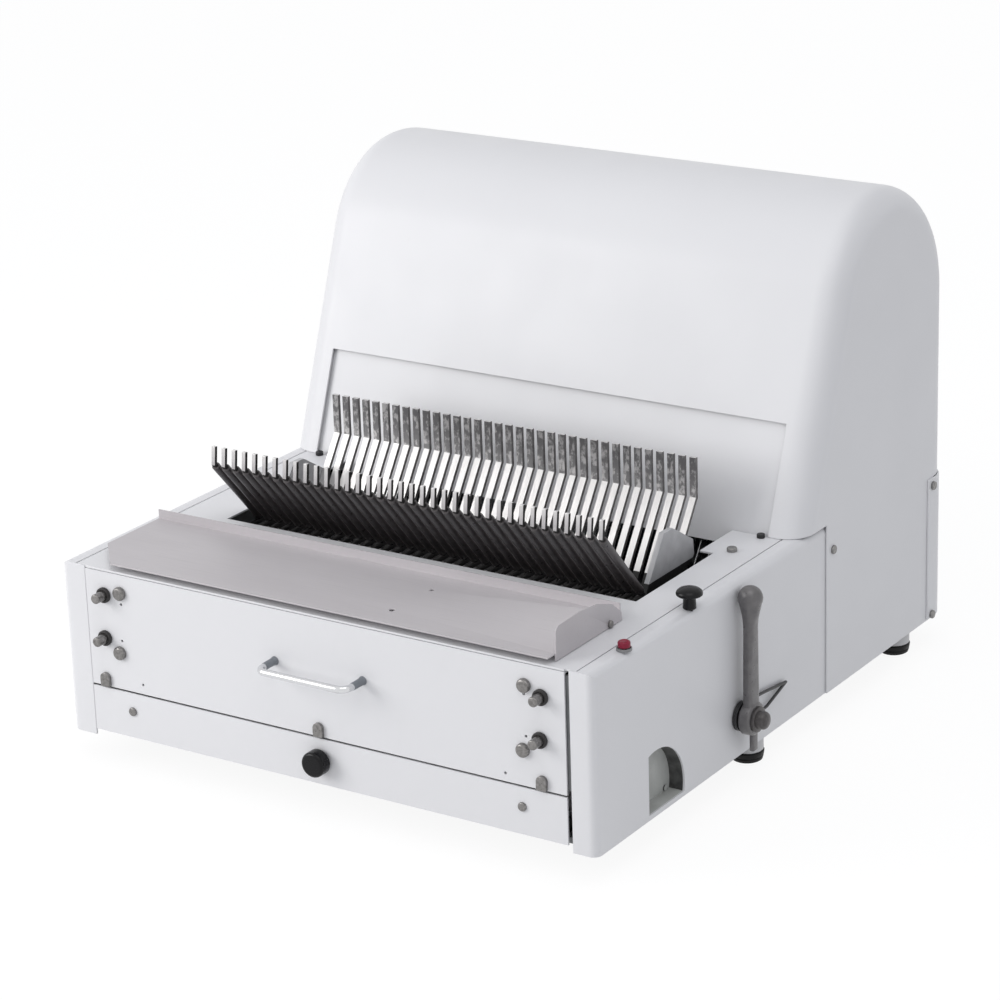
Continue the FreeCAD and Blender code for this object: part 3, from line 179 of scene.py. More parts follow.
def vary_gloss(made, amount, low, high):
    """Spreads the pattern's middle range over these roughnesses."""
    tree = made.node_tree
    span = tree.nodes.new("ShaderNodeMapRange")
    span.inputs["From Min"].default_value = 0.3
    span.inputs["From Max"].default_value = 0.7
    span.inputs["To Min"].default_value = low
    span.inputs["To Max"].default_value = high
    tree.links.new(amount, span.inputs["Value"])
    tree.links.new(span.outputs["Result"], tree.nodes["Principled BSDF"].inputs["Roughness"])


def vary_colour(made, amount, other, low=0.35, high=0.65):
    """Fades the base colour, or what feeds it, towards another one where the pattern is high."""
    tree = made.node_tree
    shader = tree.nodes["Principled BSDF"]
    fade = tree.nodes.new("ShaderNodeMapRange")
    fade.inputs["From Min"].default_value = low
    fade.inputs["From Max"].default_value = high
    tree.links.new(amount, fade.inputs["Value"])
    blend = tree.nodes.new("ShaderNodeMix")
    blend.data_type = "RGBA"
    blend.inputs[6].default_value = shader.inputs["Base Color"].default_value
    blend.inputs[7].default_value = (*other, 1)
    for link in list(shader.inputs["Base Color"].links):
        tree.links.new(link.from_socket, blend.inputs[6])
    tree.links.new(fade.outputs["Result"], blend.inputs[0])
    tree.links.new(blend.outputs[2], shader.inputs["Base Color"])


def raise_grain(made, amount, depth):
    """Adds the pattern as a relief of that depth, on top of any relief that is there."""
    tree = made.node_tree
    shader = tree.nodes["Principled BSDF"]
    bump = tree.nodes.new("ShaderNodeBump")
    bump.inputs["Distance"].default_value = depth
    tree.links.new(amount, bump.inputs["Height"])
    for link in list(shader.inputs["Normal"].links):
        tree.links.new(link.from_socket, bump.inputs["Normal"])
    tree.links.new(bump.outputs["Normal"], shader.inputs["Normal"])


def coat(made, slot, *nodes):
    """Puts a finish on CAD nodes that keep their own shape."""
    for node in nodes:
        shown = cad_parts[node]
        shown.data.materials.clear()
        shown.data.materials.append(made)


def place_piece(name, shape, made, slot, body, *nodes):
    """Turns a finished bmesh into a piece with smooth faces between its sharp edges."""
    mesh = bpy.data.meshes.new(name)
    shape.normal_update()
    shape.to_mesh(mesh)
    shape.free()
    mesh.materials.append(made)
    mesh.shade_smooth()
    mesh.set_sharp_from_angle(angle=smooth_limit)
    piece = bpy.data.objects.new(name, mesh)
    bpy.context.scene.collection.objects.link(piece)
    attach(piece, body)
    if nodes:
        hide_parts(*nodes)
    return piece


def softened(name, node, width, made, slot, body, segments=2):
    """The node's form with every sharp edge broken by a narrow round."""
    shape = bmesh.new()
    shape.from_mesh(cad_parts[node].data)
    bmesh.ops.remove_doubles(shape, verts=shape.verts, dist=weld_distance)
    bmesh.ops.dissolve_limit(shape, angle_limit=flat_limit, verts=shape.verts, edges=shape.edges)
    piece = place_piece(name, shape, made, slot, body, node)
    bevel = piece.modifiers.new("broken_edges", "BEVEL")
    bevel.width = width
    bevel.segments = segments
    bevel.limit_method = "ANGLE"
    bevel.angle_limit = break_limit
    bevel.use_clamp_overlap = True
    bevel.miter_outer = "MITER_ARC"
    return piece


def paint_faces(piece, made, wanted):
    """Gives the faces that are wanted a finish of their own."""
    piece.data.materials.append(made)
    index = len(piece.data.materials) - 1
    for face in piece.data.polygons:
        if wanted(face):
            face.material_index = index


enamel = new_finish("white_enamel", enamel_colour, 0.40, Specular_IOR_Level=0.42, Coat_Weight=0.06,
                    Coat_Roughness=0.2)
vary_gloss(enamel, pattern(enamel, 0.06), 0.36, 0.46)
vary_colour(enamel, pattern(enamel, 0.25), (0.785, 0.785, 0.80))
vary_colour(enamel, pattern(enamel, 0.011, detail=6.0, rough=0.7), (0.74, 0.735, 0.73), 0.70, 0.82)
raise_grain(enamel, pattern(enamel, 0.0035, detail=1.0), 0.00003)
for sheet_node in ("left_cover", "right_cover", "front_panel", "deck_plate", "hood", "back_panel"):
    softened(sheet_node + "_shell", sheet_node, sheet_break, enamel, "white_enamel", "machine")
softened("guard_shell", "guard", sheet_break, enamel, "white_enamel", "guard")
softened("drawer_shell", "crumb_drawer", sheet_break, enamel, "white_enamel", "drawer")

# --- Recess --------------------------------------------------------------------------------------
# The pressed pocket in the right cover: a light back plate, held by one rivet, inside a wall
# painted near black as the shade in the pocket; the rivet has the same dark finish.
pocket_break = 0.0004
rivet_face = 0.00002                # square metres: the rivet's faces are smaller
pocket_light = new_finish("pocket_plate", (0.52, 0.53, 0.51), 0.5)
vary_colour(pocket_light, pattern(pocket_light, 0.02), (0.44, 0.45, 0.43))
# Painted shade: the pocket's wall, and with it the rivet, is painted near black for the shade inside the
# pocket.
pocket_painted_shade = new_finish("pocket_wall_painted_shade", (0.035, 0.035, 0.034), 0.30, Specular_IOR_Level=0.8)
vary_colour(pocket_painted_shade, pattern(pocket_painted_shade, 0.008), (0.10, 0.10, 0.097))


def is_wall(face):
    """True for the pocket's wall and its rivet, not for the back plate and the sill."""
    across_plate = abs(face.normal.x) < 0.5
    sill = face.normal.z >= 0.9
    return (across_plate and not sill) or face.area < rivet_face


pocket = softened("recess_pocket", "recess_liner", pocket_break, pocket_light, "white_enamel", "machine")
paint_faces(pocket, pocket_painted_shade, is_wall)

# --- Tray ----------------------------------------------------------------------------------------
# The bagging tray in front of the combs: a brushed stainless sheet with a turned-up rear lip
# and a raised guide at its right end, held by one screw.
tray_finish = new_finish("brushed_sheet", (0.56, 0.535, 0.55), 0.50, Metallic=0.25)
vary_gloss(tray_finish, pattern(tray_finish, 0.0008, (60, 1, 1)), 0.44, 0.58)
vary_colour(tray_finish, pattern(tray_finish, 0.05, (3, 1, 1)), (0.53, 0.505, 0.52))
vary_colour(tray_finish, pattern(tray_finish, 0.002, (30, 1, 1)), (0.50, 0.48, 0.49), 0.58, 0.75)
raise_grain(tray_finish, pattern(tray_finish, 0.0006, (80, 1, 1), detail=2.0), 0.00003)
softened("tray_sheet", "bagging_tray", sheet_break, tray_finish, "tray_steel", "machine")

# --- Combs ---------------------------------------------------------------------------------------
# Two rows of flat steel fingers welded to one bar. The bed bars under the loaf are bright steel whose sides
# are painted dark as shade, the uprights behind it are darker, duller and mottled, and the roots and their
# bar are painted near black as the shade in the well below the loaf.
# Only the short tips of the front fingers are bare, and their sides are painted dark as shade too.
finger_break = 0.0006
upright_length = 0.044              # from the uprights' top down to the bend
dark_overlap = 0.012               # the uprights' darker finish runs this far below the bend
root_shade_depth = 0.023                # the painted shade of the roots begins this far below the deck's top
tip_overlap = 0.004                 # bare steel runs this far into the sleeves
deck_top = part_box("deck_plate")[1][2]
bend_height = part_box("rear_comb")[1][2] - upright_length
root_shade_height = deck_top - root_shade_depth
tip_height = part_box("comb_sleeves")[1][2] - tip_overlap


def split_level(piece, height):
    """Cuts the piece's faces along a level line, so that each part can have its own finish."""
    shape = bmesh.new()
    shape.from_mesh(piece.data)
    everything = shape.verts[:] + shape.edges[:] + shape.faces[:]
    bmesh.ops.bisect_plane(shape, geom=everything, plane_co=(0, 0, height), plane_no=(0, 0, 1))
    shape.to_mesh(piece.data)
    shape.free()


comb_finish = new_finish("comb_bar", (0.64, 0.63, 0.625), 0.36, Metallic=0.40)
vary_gloss(comb_finish, pattern(comb_finish, 0.0007, (1, 40, 40)), 0.26, 0.44)
raise_grain(comb_finish, pattern(comb_finish, 0.0005, (1, 50, 50), detail=2.0), 0.00002)
# Painted shade: the fingers' sides face along the machine's width, away from the lamps, and are painted dark.
flank_painted_shade = new_finish("comb_flank_painted_shade", (0.11, 0.105, 0.105), 0.40, Metallic=0.4)
vary_colour(flank_painted_shade, pattern(flank_painted_shade, 0.006), (0.20, 0.195, 0.19))
upright_finish = new_finish("comb_upright", (0.13, 0.127, 0.13), 0.42, Metallic=0.3)
vary_colour(upright_finish, pattern(upright_finish, 0.004, (1, 1, 1.6)), (0.40, 0.39, 0.39), 0.47, 0.63)
vary_gloss(upright_finish, pattern(upright_finish, 0.003), 0.32, 0.5)
# Painted shade: the roots and the bar below the loaf are painted near black for the shade in the well there.
root_painted_shade = new_finish("comb_root", (0.018, 0.017, 0.017), 0.55, Specular_IOR_Level=0.25)
vary_gloss(root_painted_shade, pattern(root_painted_shade, 0.004), 0.48, 0.64)


def is_flank(face):
    """True for the sides of the fingers, which look along the machine's width."""
    return abs(face.normal.x) > 0.9


def is_dark_upright(face):
    """True for the uprights' front and rear, down to a little below the bend."""
    steep = abs(face.normal.z) < 0.45
    return face.center.z > bend_height - dark_overlap and steep and not is_flank(face)


rear_bars = softened("rear_comb_bars", "rear_comb", finger_break, comb_finish, "comb_steel", "cradle")
# Painted shade: below this level the rear fingers are painted near black.
split_level(rear_bars, root_shade_height)
paint_faces(rear_bars, flank_painted_shade, lambda face: face.center.z < bend_height and is_flank(face))
paint_faces(rear_bars, root_painted_shade, lambda face: face.center.z < root_shade_height)
paint_faces(rear_bars, upright_finish, is_dark_upright)
front_bars = softened("front_comb_bars", "front_comb", finger_break, comb_finish, "comb_steel", "cradle")
paint_faces(front_bars, flank_painted_shade, lambda face: face.center.z > tip_height and is_flank(face))
paint_faces(front_bars, root_painted_shade, lambda face: face.center.z < tip_height)
coat(root_painted_shade, "frame_steel", "comb_root_bar")

# --- Sleeves -------------------------------------------------------------------------------------
# A length of black rubber hose is pushed over the sloping part of each front finger. Its foot
# is a little wider, and its moulded skin is uneven. The drive belt is of the same rubber.
rubber = new_finish("sleeve_rubber", (0.040, 0.034, 0.035), 0.32, Specular_IOR_Level=0.9)
vary_gloss(rubber, pattern(rubber, 0.004), 0.26, 0.42)
vary_colour(rubber, pattern(rubber, 0.006), (0.060, 0.052, 0.053))
raise_grain(rubber, pattern(rubber, 0.0012), 0.00010)
sleeve_r = 0.0049                   # of the plain solids that the hoses stand for
hose_r = 0.0043
sleeve_count = 37
sleeve_sides = 20
lean_y, lean_z = -0.666, 0.746      # direction of the fingers' slope, from foot to tip


def turned(shape, origin, along, profile, sides=40):
    """Adds a closed turned form: profile is (distance along the axis, radius) from end to end."""
    along = Vector(along).normalized()
    across = along.orthogonal().normalized()
    other = along.cross(across)
    rings = []
    for distance, radius in profile:
        middle = Vector(origin) + along * distance
        if radius < weld_distance:
            rings.append([shape.verts.new(middle)])
            continue
        ring = []
        for i in range(sides):
            turn = 2 * math.pi * i / sides
            spoke = across * math.cos(turn) + other * math.sin(turn)
            ring.append(shape.verts.new(middle + spoke * radius))
        rings.append(ring)
    for one, two in zip(rings, rings[1:]):
        for i in range(sides):
            j = (i + 1) % sides
            corners = [one[i % len(one)], one[j % len(one)], two[j % len(two)], two[i % len(two)]]
            shape.faces.new(list(dict.fromkeys(corners)))


sleeve_low, sleeve_high = [Vector(corner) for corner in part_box("comb_sleeves")]
sleeve_foot = Vector((0, sleeve_high.y - sleeve_r * lean_z, sleeve_low.z - sleeve_r * lean_y))
sleeve_tip = Vector((0, sleeve_low.y + sleeve_r * lean_z, sleeve_high.z + sleeve_r * lean_y))
sleeve_run = sleeve_tip - sleeve_foot
sleeve_length = sleeve_run.length
hose_profile = [(0, 0), (0, hose_r - 0.0003), (0.0008, hose_r + 0.0002), (0.004, hose_r + 0.0001),
                (sleeve_length / 2, hose_r - 0.0001), (sleeve_length - 0.004, hose_r),
                (sleeve_length - 0.0006, hose_r), (sleeve_length, hose_r - 0.0005), (sleeve_length, 0)]
sleeve_shape = bmesh.new()
sleeve_pitch = (sleeve_high.x - sleeve_low.x - 2 * sleeve_r) / (sleeve_count - 1)
for i in range(sleeve_count):
    start = sleeve_foot + Vector((sleeve_low.x + sleeve_r + i * sleeve_pitch, 0, 0))
    turned(sleeve_shape, start, sleeve_run, hose_profile, sleeve_sides)
place_piece("finger_sleeves", sleeve_shape, rubber, "black_rubber", "cradle", "comb_sleeves")
coat(rubber, "black_rubber", "drive_belt")

# --- Cradle ends ---------------------------------------------------------------------------------
# The cast end arms that carry the combs and the bar between them, painted mid grey, with
# rounded rims. What lies below the deck is painted near black as the shade inside the case.
rim_round = 0.0018
arm_shade_depth = 0.0095           # below the deck's top, where the painted shade begins
cheek_finish = new_finish("cheek_paint", (0.46, 0.46, 0.47), 0.42)
vary_colour(cheek_finish, pattern(cheek_finish, 0.012), (0.54, 0.54, 0.55))
raise_grain(cheek_finish, pattern(cheek_finish, 0.003), 0.00012)
# Painted shade: the arms below the deck are painted near black for the dark inside of the case.
arm_painted_shade = new_finish("arm_painted_shade_black", (0.015, 0.015, 0.015), 0.5, Specular_IOR_Level=0.3)
vary_gloss(arm_painted_shade, pattern(arm_painted_shade, 0.004), 0.40, 0.62)
split_height = deck_top - arm_shade_depth
end_arms = softened("cradle_end_arms", "cradle_arms", rim_round, cheek_finish, "cheek_grey", "cradle",
                    segments=3)
split_level(end_arms, split_height)
paint_faces(end_arms, arm_painted_shade, lambda face: face.center.z < split_height)

# --- Lever ---------------------------------------------------------------------------------------
# The operating lever on the right, one casting: a hub on the cradle's shaft, an oval arm that
# swells into a bulbous grip, and a short tail below the hub that works a switch.
cast_finish = new_finish("cast_lever", (0.105, 0.101, 0.104), 0.34, Metallic=0.30, Specular_IOR_Level=0.7)
vary_gloss(cast_finish, pattern(cast_finish, 0.006), 0.26, 0.42)
vary_colour(cast_finish, pattern(cast_finish, 0.010), (0.145, 0.139, 0.142))
raise_grain(cast_finish, pattern(cast_finish, 0.0016), 0.00012)
lever_low, lever_high = [Vector(corner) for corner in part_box("lever")]
bush_low, bush_high = [Vector(corner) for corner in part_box("cradle_bearings")]
nut_low, nut_high = [Vector(corner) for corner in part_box("lever_hub_nut")]
axle = Vector((0, (bush_low.y + bush_high.y) / 2, (bush_low.z + bush_high.z) / 2))
bulb_r = 0.0124
neck_rise = 0.099                   # from the shaft up to where the arm swells
lever_mid = Vector((lever_high.x - bulb_r, axle.y, 0))
bulb_z = lever_high.z - bulb_r
neck_z = axle.z + neck_rise
lever_shape = bmesh.new()
lever_sides = 32
bulb_rings = 9
bulb_start, bulb_end = -28, 90      # degrees up the ball, from the neck to its top
# Stations up the arm: height, half width along Y, half thickness along X, squareness.
stations = [(axle.z + 0.004, 0.0098, 0.0052, 4.0), (axle.z + 0.04, 0.0096, 0.0050, 4.0),
            (axle.z + 0.08, 0.0091, 0.0050, 3.6), (neck_z - 0.004, 0.0088, 0.0054, 3.0),
            (neck_z + 0.004, 0.0088, 0.0068, 2.4), (neck_z + 0.010, 0.0092, 0.0086, 2.0),
            (neck_z + 0.016, 0.0103, 0.0101, 2.0)]
for i in range(bulb_rings):
    turn = math.radians(bulb_start + i * (bulb_end - bulb_start) / (bulb_rings - 1))
    ring_r = bulb_r * math.cos(turn)
    stations.append((bulb_z + bulb_r * math.sin(turn), ring_r, ring_r, 2.0))
loops = []
for height, half_w, half_t, power in stations:
    loop = []
    for i in range(lever_sides):
        turn = 2 * math.pi * i / lever_sides
        cosine, sine = math.cos(turn), math.sin(turn)
        x = half_t * math.copysign(abs(cosine) ** (2 / power), cosine)
        y = half_w * math.copysign(abs(sine) ** (2 / power), sine)
        loop.append(lever_shape.verts.new((lever_mid.x + x, lever_mid.y + y, height)))
    loops.append(loop)
for one, two in zip(loops, loops[1:]):
    for i in range(lever_sides):
        j = (i + 1) % lever_sides
        lever_shape.faces.new((one[i], one[j], two[j], two[i]))
lever_shape.faces.new(loops[0][::-1])
lever_shape.faces.new(loops[-1])
hub_half = 0.006
hub_r = 0.017
turned(lever_shape, (lever_mid.x - hub_half, axle.y, axle.z), (1, 0, 0),
       [(0, 0), (0, hub_r - 0.0015), (0.0015, hub_r), (2 * hub_half - 0.002, hub_r),
        (2 * hub_half - 0.0008, hub_r - 0.0006), (2 * hub_half, hub_r - 0.002), (2 * hub_half, 0)],
       sides=48)
tail = bmesh.ops.create_cube(lever_shape, size=1.0)
tail_size = (0.005, 0.009, 0.024)
tail_round = 0.0012
tail_place = Vector((lever_mid.x, axle.y + tail_size[1] / 2, lever_low.z + tail_size[2] / 2))
bmesh.ops.transform(lever_shape, verts=tail["verts"],
                    matrix=Matrix.Translation(tail_place) @ Matrix.Diagonal((*tail_size, 1)))
tail_edges = list({edge for corner in tail["verts"] for edge in corner.link_edges})
bmesh.ops.bevel(lever_shape, geom=tail_edges, offset=tail_round, segments=2, affect="EDGES",
                profile=0.5)
place_piece("lever_casting", lever_shape, cast_finish, "cast_grey", "cradle", "lever")

# The washer and the domed cap nut that hold the lever on its shaft.
nut_shape = bmesh.new()
nut_length = nut_high.x - nut_low.x
washer_r = 0.013
cap_nut_r = 0.009
turned(nut_shape, (nut_low.x, axle.y, axle.z), (1, 0, 0),
       [(0, 0), (0, washer_r - 0.0005), (0.0006, washer_r), (0.0028, washer_r),
        (0.0034, washer_r - 0.0008), (0.0035, cap_nut_r + 0.0002), (0.0045, cap_nut_r),
        (nut_length - 0.0045, cap_nut_r), (nut_length - 0.0022, cap_nut_r - 0.0012),
        (nut_length - 0.0007, cap_nut_r - 0.0038), (nut_length, 0)])
hub_finish = new_finish("hub_brown", (0.055, 0.050, 0.050), 0.36, Metallic=0.3)
vary_colour(hub_finish, pattern(hub_finish, 0.004), (0.085, 0.078, 0.078))
place_piece("hub_cap_nut", nut_shape, hub_finish, "cast_grey", "cradle", "lever_hub_nut")

# --- Catch ---------------------------------------------------------------------------------------
# The lever's catch: a loop of thin dark spring wire, bent to a point and joined to a ring that
# turns on the shaft, between the lever's hub and the side cover.
wire_break = 0.0003
catch_finish = new_finish("dark_wire", (0.045, 0.045, 0.047), 0.35, Metallic=0.6)
vary_gloss(catch_finish, pattern(catch_finish, 0.003), 0.28, 0.45)
softened("catch_loop", "lever_catch", wire_break, catch_finish, "cast_grey", "catch")

# --- Handle --------------------------------------------------------------------------------------
# The front panel's pull: a bright chromed bar bent at both ends, with a dark grey ferrule where
# each end enters the panel.
wire_finish = new_finish("bright_wire", (0.66, 0.665, 0.68), 0.16, Metallic=1.0)
vary_gloss(wire_finish, pattern(wire_finish, 0.004), 0.12, 0.22)
ferrule_finish = new_finish("grey_ferrule", (0.20, 0.215, 0.235), 0.36, Metallic=0.5)
vary_gloss(ferrule_finish, pattern(ferrule_finish, 0.003), 0.30, 0.48)
bar_low, bar_high = [Vector(corner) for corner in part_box("wire_handle")]
wire_r = (bar_high.z - bar_low.z) / 2
wire_z = (bar_high.z + bar_low.z) / 2
panel_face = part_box("front_panel")[0][1]
bend_r = 0.010
bend_steps = 8
ferrule_r = 0.0038
ferrule_length = 0.018


def tube(shape, points, radius, sides):
    """Adds a round bar with closed ends along a chain of points."""
    rings = []
    turns = [2 * math.pi * k / sides for k in range(sides)]
    for i, point in enumerate(points):
        way = (points[min(i + 1, len(points) - 1)] - points[max(i - 1, 0)]).normalized()
        across = Vector((0, 0, 1))
        other = way.cross(across).normalized()
        rings.append([shape.verts.new(point + (across * math.cos(turn) + other * math.sin(turn)) * radius)
                      for turn in turns])
    for one, two in zip(rings, rings[1:]):
        for i in range(sides):
            j = (i + 1) % sides
            shape.faces.new((one[i], one[j], two[j], two[i]))
    shape.faces.new(rings[0][::-1])
    shape.faces.new(rings[-1])


bar_points = [Vector((bar_low.x + wire_r, bar_high.y, wire_z))]
for step in range(bend_steps + 1):
    turn = math.radians(180 + step * 90 / bend_steps)
    bar_points.append(Vector((bar_low.x + wire_r + bend_r + bend_r * math.cos(turn),
                              bar_low.y + wire_r + bend_r + bend_r * math.sin(turn), wire_z)))
middle_x = (bar_low.x + bar_high.x) / 2
bar_points += [Vector((2 * middle_x - point.x, point.y, point.z)) for point in reversed(bar_points)]
bar_shape = bmesh.new()
tube(bar_shape, bar_points, wire_r, sides=28)
place_piece("handle_bar", bar_shape, wire_finish, "wire_chrome", "machine", "wire_handle")
ferrule_shape = bmesh.new()
for x in (bar_low.x + wire_r, bar_high.x - wire_r):
    turned(ferrule_shape, (x, panel_face, wire_z), (0, -1, 0),
           [(0, 0), (0, ferrule_r + 0.0008), (0.001, ferrule_r + 0.0007), (0.002, ferrule_r + 0.0001),
            (ferrule_length - 0.002, ferrule_r), (ferrule_length - 0.0005, ferrule_r - 0.0001),
            (ferrule_length, ferrule_r - 0.0004), (ferrule_length, 0)], sides=28)
place_piece("handle_ferrules", ferrule_shape, ferrule_finish, "grey_plastic", "machine")

# --- Fixings -------------------------------------------------------------------------------------
# Zinc plated steel: the front panel's bolts, studs and seam tabs, and the screws of tray and
# drawer. Those of hood, back panel and deck have gone dull grey, and the deck's rear pair is
# near black. A black rubber collar sits on each stud.
bolt_break = 0.0005
tab_break = 0.0008
deck_bolt_break = 0.0004
screw_break = 0.0003
collar_round = 0.0010
rear_heads_reach = 0.012            # the deck's rear bolts lie within this of the rearmost point
plated = new_finish("zinc_plate", (0.27, 0.26, 0.255), 0.30, Metallic=0.8)
vary_gloss(plated, pattern(plated, 0.002), 0.24, 0.42)
vary_colour(plated, pattern(plated, 0.003), (0.17, 0.165, 0.16))
dull_zinc = new_finish("dull_zinc", (0.20, 0.20, 0.20), 0.42, Metallic=0.7)
vary_colour(dull_zinc, pattern(dull_zinc, 0.002), (0.30, 0.29, 0.28))
softened("panel_fixings", "panel_bolts", bolt_break, plated, "plated_steel", "machine")
softened("seam_tabs", "seam_pins", tab_break, plated, "plated_steel", "machine")
deck_heads = softened("deck_fixings", "deck_bolts", deck_bolt_break, dull_zinc, "plated_steel", "machine")
# The deck's rear pair of heads is near black.
rear_heads_black = new_finish("rear_heads_black_zinc", (0.02, 0.02, 0.022), 0.4, Metallic=0.3)
vary_gloss(rear_heads_black, pattern(rear_heads_black, 0.002), 0.32, 0.5)
rear_heads_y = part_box("deck_bolts")[1][1] - rear_heads_reach
paint_faces(deck_heads, rear_heads_black, lambda face: face.center.y > rear_heads_y)
softened("tray_fixing", "tray_screw", screw_break, plated, "plated_steel", "machine")
softened("hood_fixings", "hood_screws", screw_break, dull_zinc, "plated_steel", "machine")
softened("back_fixings", "back_panel_screws", screw_break, dull_zinc, "plated_steel", "machine")
softened("drawer_fixings", "drawer_screws", screw_break, plated, "plated_steel", "drawer")
collar_finish = new_finish("collar_rubber", (0.035, 0.033, 0.033), 0.5, Specular_IOR_Level=0.3)
vary_gloss(collar_finish, pattern(collar_finish, 0.002), 0.42, 0.6)
softened("stud_collars", "bolt_collars", collar_round, collar_finish, "black_rubber", "machine",
         segments=3)

# --- Controls ------------------------------------------------------------------------------------
# The black start knob is turned from phenolic with a domed head; the red stop button is a round
# moulded cap in a grey ring. The drawer's grip, the cord's gland and the switches inside are
# black mouldings.
phenolic = new_finish("black_phenolic", (0.004, 0.004, 0.005), 0.22, Specular_IOR_Level=0.22)
vary_gloss(phenolic, pattern(phenolic, 0.005), 0.18, 0.32)
knob_low, knob_high = [Vector(corner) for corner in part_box("start_knob")]
knob_x = (knob_low.x + knob_high.x) / 2
knob_y = (knob_low.y + knob_high.y) / 2
head_r = (knob_high.x - knob_low.x) / 2
stem_r = 0.0065
knob_rod_r = 0.0028
head_height = 0.0085
head_z = knob_high.z - head_height
knob_shape = bmesh.new()
turned(knob_shape, (knob_x, knob_y, 0), (0, 0, 1),
       [(knob_low.z, 0), (knob_low.z, knob_rod_r), (deck_top + 0.0003, knob_rod_r),
        (deck_top + 0.0003, stem_r - 0.0004), (deck_top + 0.0008, stem_r),
        (deck_top + 0.007, stem_r - 0.0003), (head_z - 0.002, stem_r - 0.0004),
        (head_z, stem_r + 0.0005), (head_z + 0.0001, head_r - 0.0012), (head_z + 0.0010, head_r - 0.0002),
        (head_z + 0.0025, head_r), (head_z + 0.0045, head_r - 0.0008), (head_z + 0.0062, head_r - 0.0028),
        (head_z + 0.0075, head_r - 0.0060), (head_z + 0.0083, head_r - 0.0095), (knob_high.z, 0)],
       sides=48)
place_piece("start_mushroom", knob_shape, phenolic, "black_plastic", "start_knob", "start_knob")
coat(phenolic, "black_plastic", "control_switches")

red = new_finish("red_cap", (0.27, 0.006, 0.035), 0.30, Specular_IOR_Level=0.35)
vary_gloss(red, pattern(red, 0.003), 0.26, 0.40)
vary_colour(red, pattern(red, 0.004), (0.22, 0.005, 0.03))
button_low, button_high = [Vector(corner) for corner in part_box("stop_button")]
button_x = (button_low.x + button_high.x) / 2
button_y = (button_low.y + button_high.y) / 2
cap_r = (button_high.x - button_low.x) / 2
button_rod_r = 0.002
cap_foot = deck_top + 0.0035
button_shape = bmesh.new()
turned(button_shape, (button_x, button_y, 0), (0, 0, 1),
       [(button_low.z, 0), (button_low.z, button_rod_r), (cap_foot, button_rod_r),
        (cap_foot, cap_r - 0.0003), (cap_foot + 0.0003, cap_r), (button_high.z - 0.0016, cap_r),
        (button_high.z - 0.0007, cap_r - 0.0005), (button_high.z - 0.0001, cap_r - 0.0016),
        (button_high.z - 0.0006, cap_r - 0.0028), (button_high.z - 0.0009, 0)])
place_piece("stop_cap", button_shape, red, "red_plastic", "stop_button", "stop_button")
ring_break = 0.0004
grip_break = 0.0005
gland_break = 0.0006
grey = new_finish("grey_moulding", (0.24, 0.24, 0.245), 0.5)
vary_gloss(grey, pattern(grey, 0.002), 0.42, 0.58)
softened("button_ring", "button_base", ring_break, grey, "grey_plastic", "machine")
softened("drawer_grip", "drawer_knob", grip_break, phenolic, "black_plastic", "drawer")
softened("gland_body", "cord_gland", gland_break, phenolic, "black_plastic", "machine")

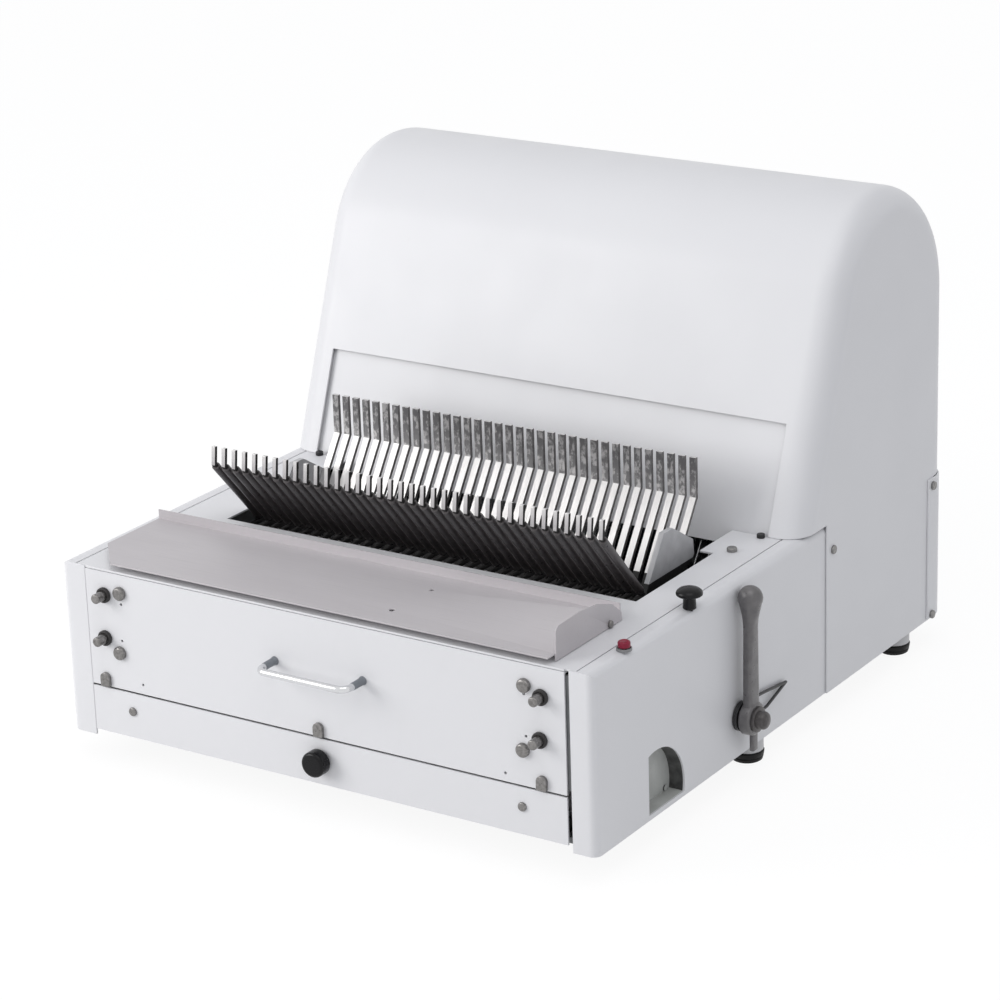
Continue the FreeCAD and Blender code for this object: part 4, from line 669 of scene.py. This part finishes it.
# --- Feet ----------------------------------------------------------------------------------------
# Four black rubber feet with a groove round each, two on a side, at the middle and at the rear
# of the case, each fitted under a white nylon spacer.
foot_rubber = new_finish("foot_rubber", (0.006, 0.006, 0.006), 0.5, Specular_IOR_Level=0.2)
vary_gloss(foot_rubber, pattern(foot_rubber, 0.003), 0.42, 0.62)
raise_grain(foot_rubber, pattern(foot_rubber, 0.0015), 0.0001)
nylon = new_finish("white_nylon", (0.74, 0.74, 0.74), 0.5)
vary_gloss(nylon, pattern(nylon, 0.004), 0.42, 0.58)
feet_low, feet_high = [Vector(corner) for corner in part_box("rubber_feet")]
foot_r = 0.0175
foot_h = feet_high.z
foot_shape = bmesh.new()
spacer_shape = bmesh.new()
spacer_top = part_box("foot_spacers")[1][2]
for x in (feet_low.x + foot_r, feet_high.x - foot_r):
    for y in (feet_low.y + foot_r, feet_high.y - foot_r):
        turned(foot_shape, (x, y, 0), (0, 0, 1),
               [(0, 0), (0, foot_r - 0.0030), (0.0008, foot_r - 0.0018), (foot_h * 0.35, foot_r - 0.0009),
                (foot_h * 0.42, foot_r - 0.0014), (foot_h * 0.50, foot_r - 0.0006), (foot_h - 0.0012, foot_r),
                (foot_h - 0.0002, foot_r - 0.0006), (foot_h, foot_r - 0.002), (foot_h, 0)])
        turned(spacer_shape, (x, y, 0), (0, 0, 1),
               [(foot_h, 0), (foot_h, foot_r - 0.0014), (foot_h + 0.0006, foot_r - 0.0008),
                (spacer_top - 0.0006, foot_r - 0.0008), (spacer_top, foot_r - 0.0012), (spacer_top, 0)])
place_piece("feet", foot_shape, foot_rubber, "black_rubber", "machine", "rubber_feet")
place_piece("foot_rings", spacer_shape, nylon, "white_plastic", "machine", "foot_spacers")

# --- Frames and drive ----------------------------------------------------------------------------
# What is inside: painted plate and bar, oiled bronze bushes, bright shafts, ground blades, cast
# pulleys and the painted motor.
frame_finish = new_finish("frame_paint", (0.20, 0.205, 0.21), 0.5)
vary_colour(frame_finish, pattern(frame_finish, 0.02), (0.16, 0.165, 0.17))
raise_grain(frame_finish, pattern(frame_finish, 0.002), 0.00008)
coat(frame_finish, "frame_steel", "base_pan", "left_side_frame", "right_side_frame", "cross_ties",
     "guard_rails", "front_blade_frame", "rear_blade_frame", "guide_brackets",
     "front_frame_rods", "rear_frame_rods", "motor_mount", "drawer_runners")
coat(plated, "plated_steel", "cradle_shaft", "guide_rods", "crank_shaft", "motor_shaft")
coat(cast_finish, "cast_grey", "drive_pulley", "motor_pulley")
blade_finish = new_finish("ground_blade", (0.66, 0.67, 0.68), 0.25, Metallic=1.0)
vary_gloss(blade_finish, pattern(blade_finish, 0.0006, (1, 30, 30)), 0.18, 0.34)
coat(blade_finish, "blade_steel", "front_blades", "rear_blades")
bronze = new_finish("oiled_bronze", (0.42, 0.28, 0.12), 0.35, Metallic=1.0)
vary_gloss(bronze, pattern(bronze, 0.003), 0.28, 0.45)
coat(bronze, "bronze", "cradle_bearings", "crank_bearings", "knob_bush")
motor_finish = new_finish("motor_paint", (0.04, 0.05, 0.06), 0.4)
raise_grain(motor_finish, pattern(motor_finish, 0.003), 0.0001)
coat(motor_finish, "motor_paint", "motor")
